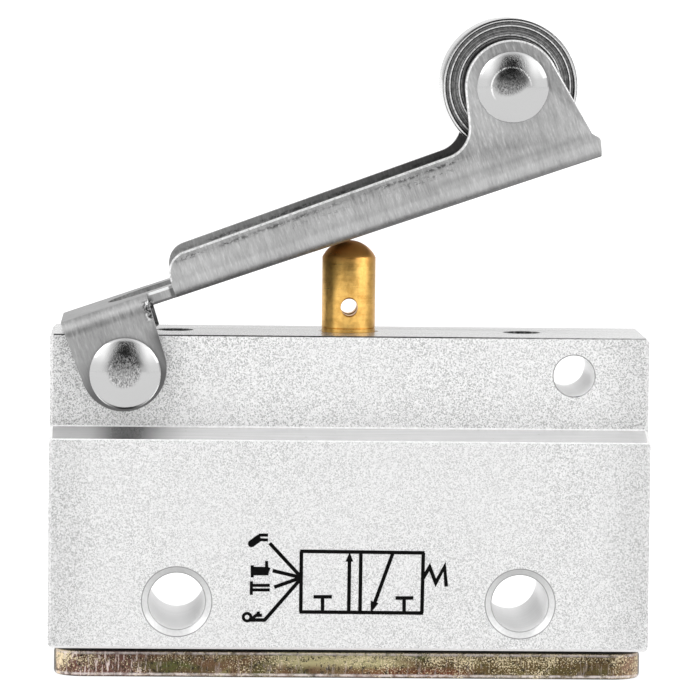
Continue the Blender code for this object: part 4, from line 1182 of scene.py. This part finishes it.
def build_floor():
    builder = bmesh.new()
    size = 30
    corners = [builder.verts.new((x * size, y * size, 0)) for x, y in ((-1, -1), (1, -1), (1, 1), (-1, 1))]
    builder.faces.new(corners)
    floor = linked('floor', mesh_from(builder, 'floor'))
    shader = Shader('white floor', 0.40, 0.0, 1.0)
    shader.set(shader.principled, {'Specular IOR Level': 0.0, 'Emission Color': (1, 1, 1, 1),
                                   'Emission Strength': 0.80})
    floor.data.materials.append(shader.material)


def build_world():
    """White tent with a dark opening above the camera and dark panels at the sides."""
    world = bpy.data.worlds.new('studio')
    bpy.context.scene.world = world
    world.use_nodes = True
    tent = Nodes(world.node_tree, 'Generated')
    x, y, z = (tent.axis(i) for i in range(3))
    degree = radians(1)
    azimuth = tent.maths('ARCTAN2', x, tent.times(y, -1.0))
    sideways = tent.maths('ABSOLUTE', azimuth)
    beside = tent.within(sideways, 40 * degree, 95 * degree, 10 * degree)
    tent.stain(1.3, beside, tent.within(z, -0.2, 0.4, 0.1))
    tent.stain(2.0, beside, tent.within(z, 0.35, 0.9, 0.2))
    past = tent.maths('SUBTRACT', sideways, tent.slope(z, 0.15, 0.86, 31 * degree, 22 * degree))
    tent.stain(0.02, tent.slope(past, 6 * degree, -6 * degree), tent.within(z, 0.19, 0.86, 0.06))
    tent.stain(0.25, tent.within(azimuth, -30 * degree, 30 * degree, 18 * degree),
               tent.within(z, -0.3, 0.30, 0.10), 0.40)
    for start, end, soft in ((-170, -114, 8), (84, 150, 12)):
        tent.stain(0.15, tent.within(azimuth, start * degree, end * degree, soft * degree),
                   tent.within(z, -0.5, 0.75, 0.1), 0.5)
    tent.set(world.node_tree.nodes['Background'], {'Color': tent.tone, 'Strength': 1.02})


def build_lights():
    """Two large soft boxes that give the rounded edges their light."""
    for name, place, size, power in (('key', (-0.90, -0.22, 0.80), 0.7, 3.0),
                                     ('fill', (0.90, -0.20, 0.60), 0.6, 1.4)):
        data = bpy.data.lights.new(name, 'AREA')
        data.shape = 'SQUARE'
        data.size = size
        data.energy = power
        lamp = linked(name, data)
        lamp.location = place
        lamp.rotation_euler = (Vector((0, 0, 0.04)) - Vector(place)).to_track_quat('-Z', 'Y').to_euler()


def build_scene():
    build_camera()
    build_floor()
    build_world()
    build_lights()
    bpy.context.scene.view_settings.view_transform = 'Standard'
    materials = {
        'lower': blasted_aluminium('blasted lower', 0.77, 0.34),
        'upper': blasted_aluminium('blasted upper', 0.83, 0.46),
        'shoulder': milled_aluminium('milled shoulder', 0.80, 0.6, 0.14, SHOULDER_PAINTED_REFLECTION),
        'top': milled_aluminium('milled top', 0.70, 0.6, 0.25),
        'light_edge': grained('light edge', 0.95, 0.1, 0.4),
        'bore': bored_aluminium(),
        'chamfer': chamfered_aluminium(),
        'thread': thread_metal(),
        'port': grained('port thread', 0.30, 0.8, 0.35),
        'burr': dark_burr(),
        'rubber': grained('nitrile rubber', 0.02, 0.0, 0.7),
        'inner_brass': brass('inner brass', (0.74, 0.52, 0.22), 0.3),
        'screw': grained('zinc screw', 0.58, 1.0, 0.3),
        'bush': grained('sintered bronze', (0.50, 0.34, 0.20), 0.9, 0.5)}
    build_block(materials)
    build_plate(yellow_zinc())
    build_symbol(printed_ink())
    build_plunger(brass('golden brass', (0.88, 0.54, 0.155), 0.32))
    build_springs(grained('spring steel', (0.45, 0.45, 0.47), 1.0, 0.35))
    # The rims get a lighter, less metallic copy of the sheared edge: a painted highlight on the cheeks'
    # rounded rims.
    build_lever(brushed_steel(), sheared_edge('sheared edge', 0.40, 0.8), sheared_edge('rim with painted highlight', 0.82, 0.4))
    build_rivets(bright_nickel())
    build_spacers(turned_steel('collar steel', 0.45, 0.4, 0.3))
    build_roller(turned_steel('roller tread', 0.68, 0.15, 0.2, TREAD_RINGS),
                 turned_steel('roller face', 0.115, 0.75, 0.3, FACE_RINGS))
    dress_nodes(materials)


build_scene()
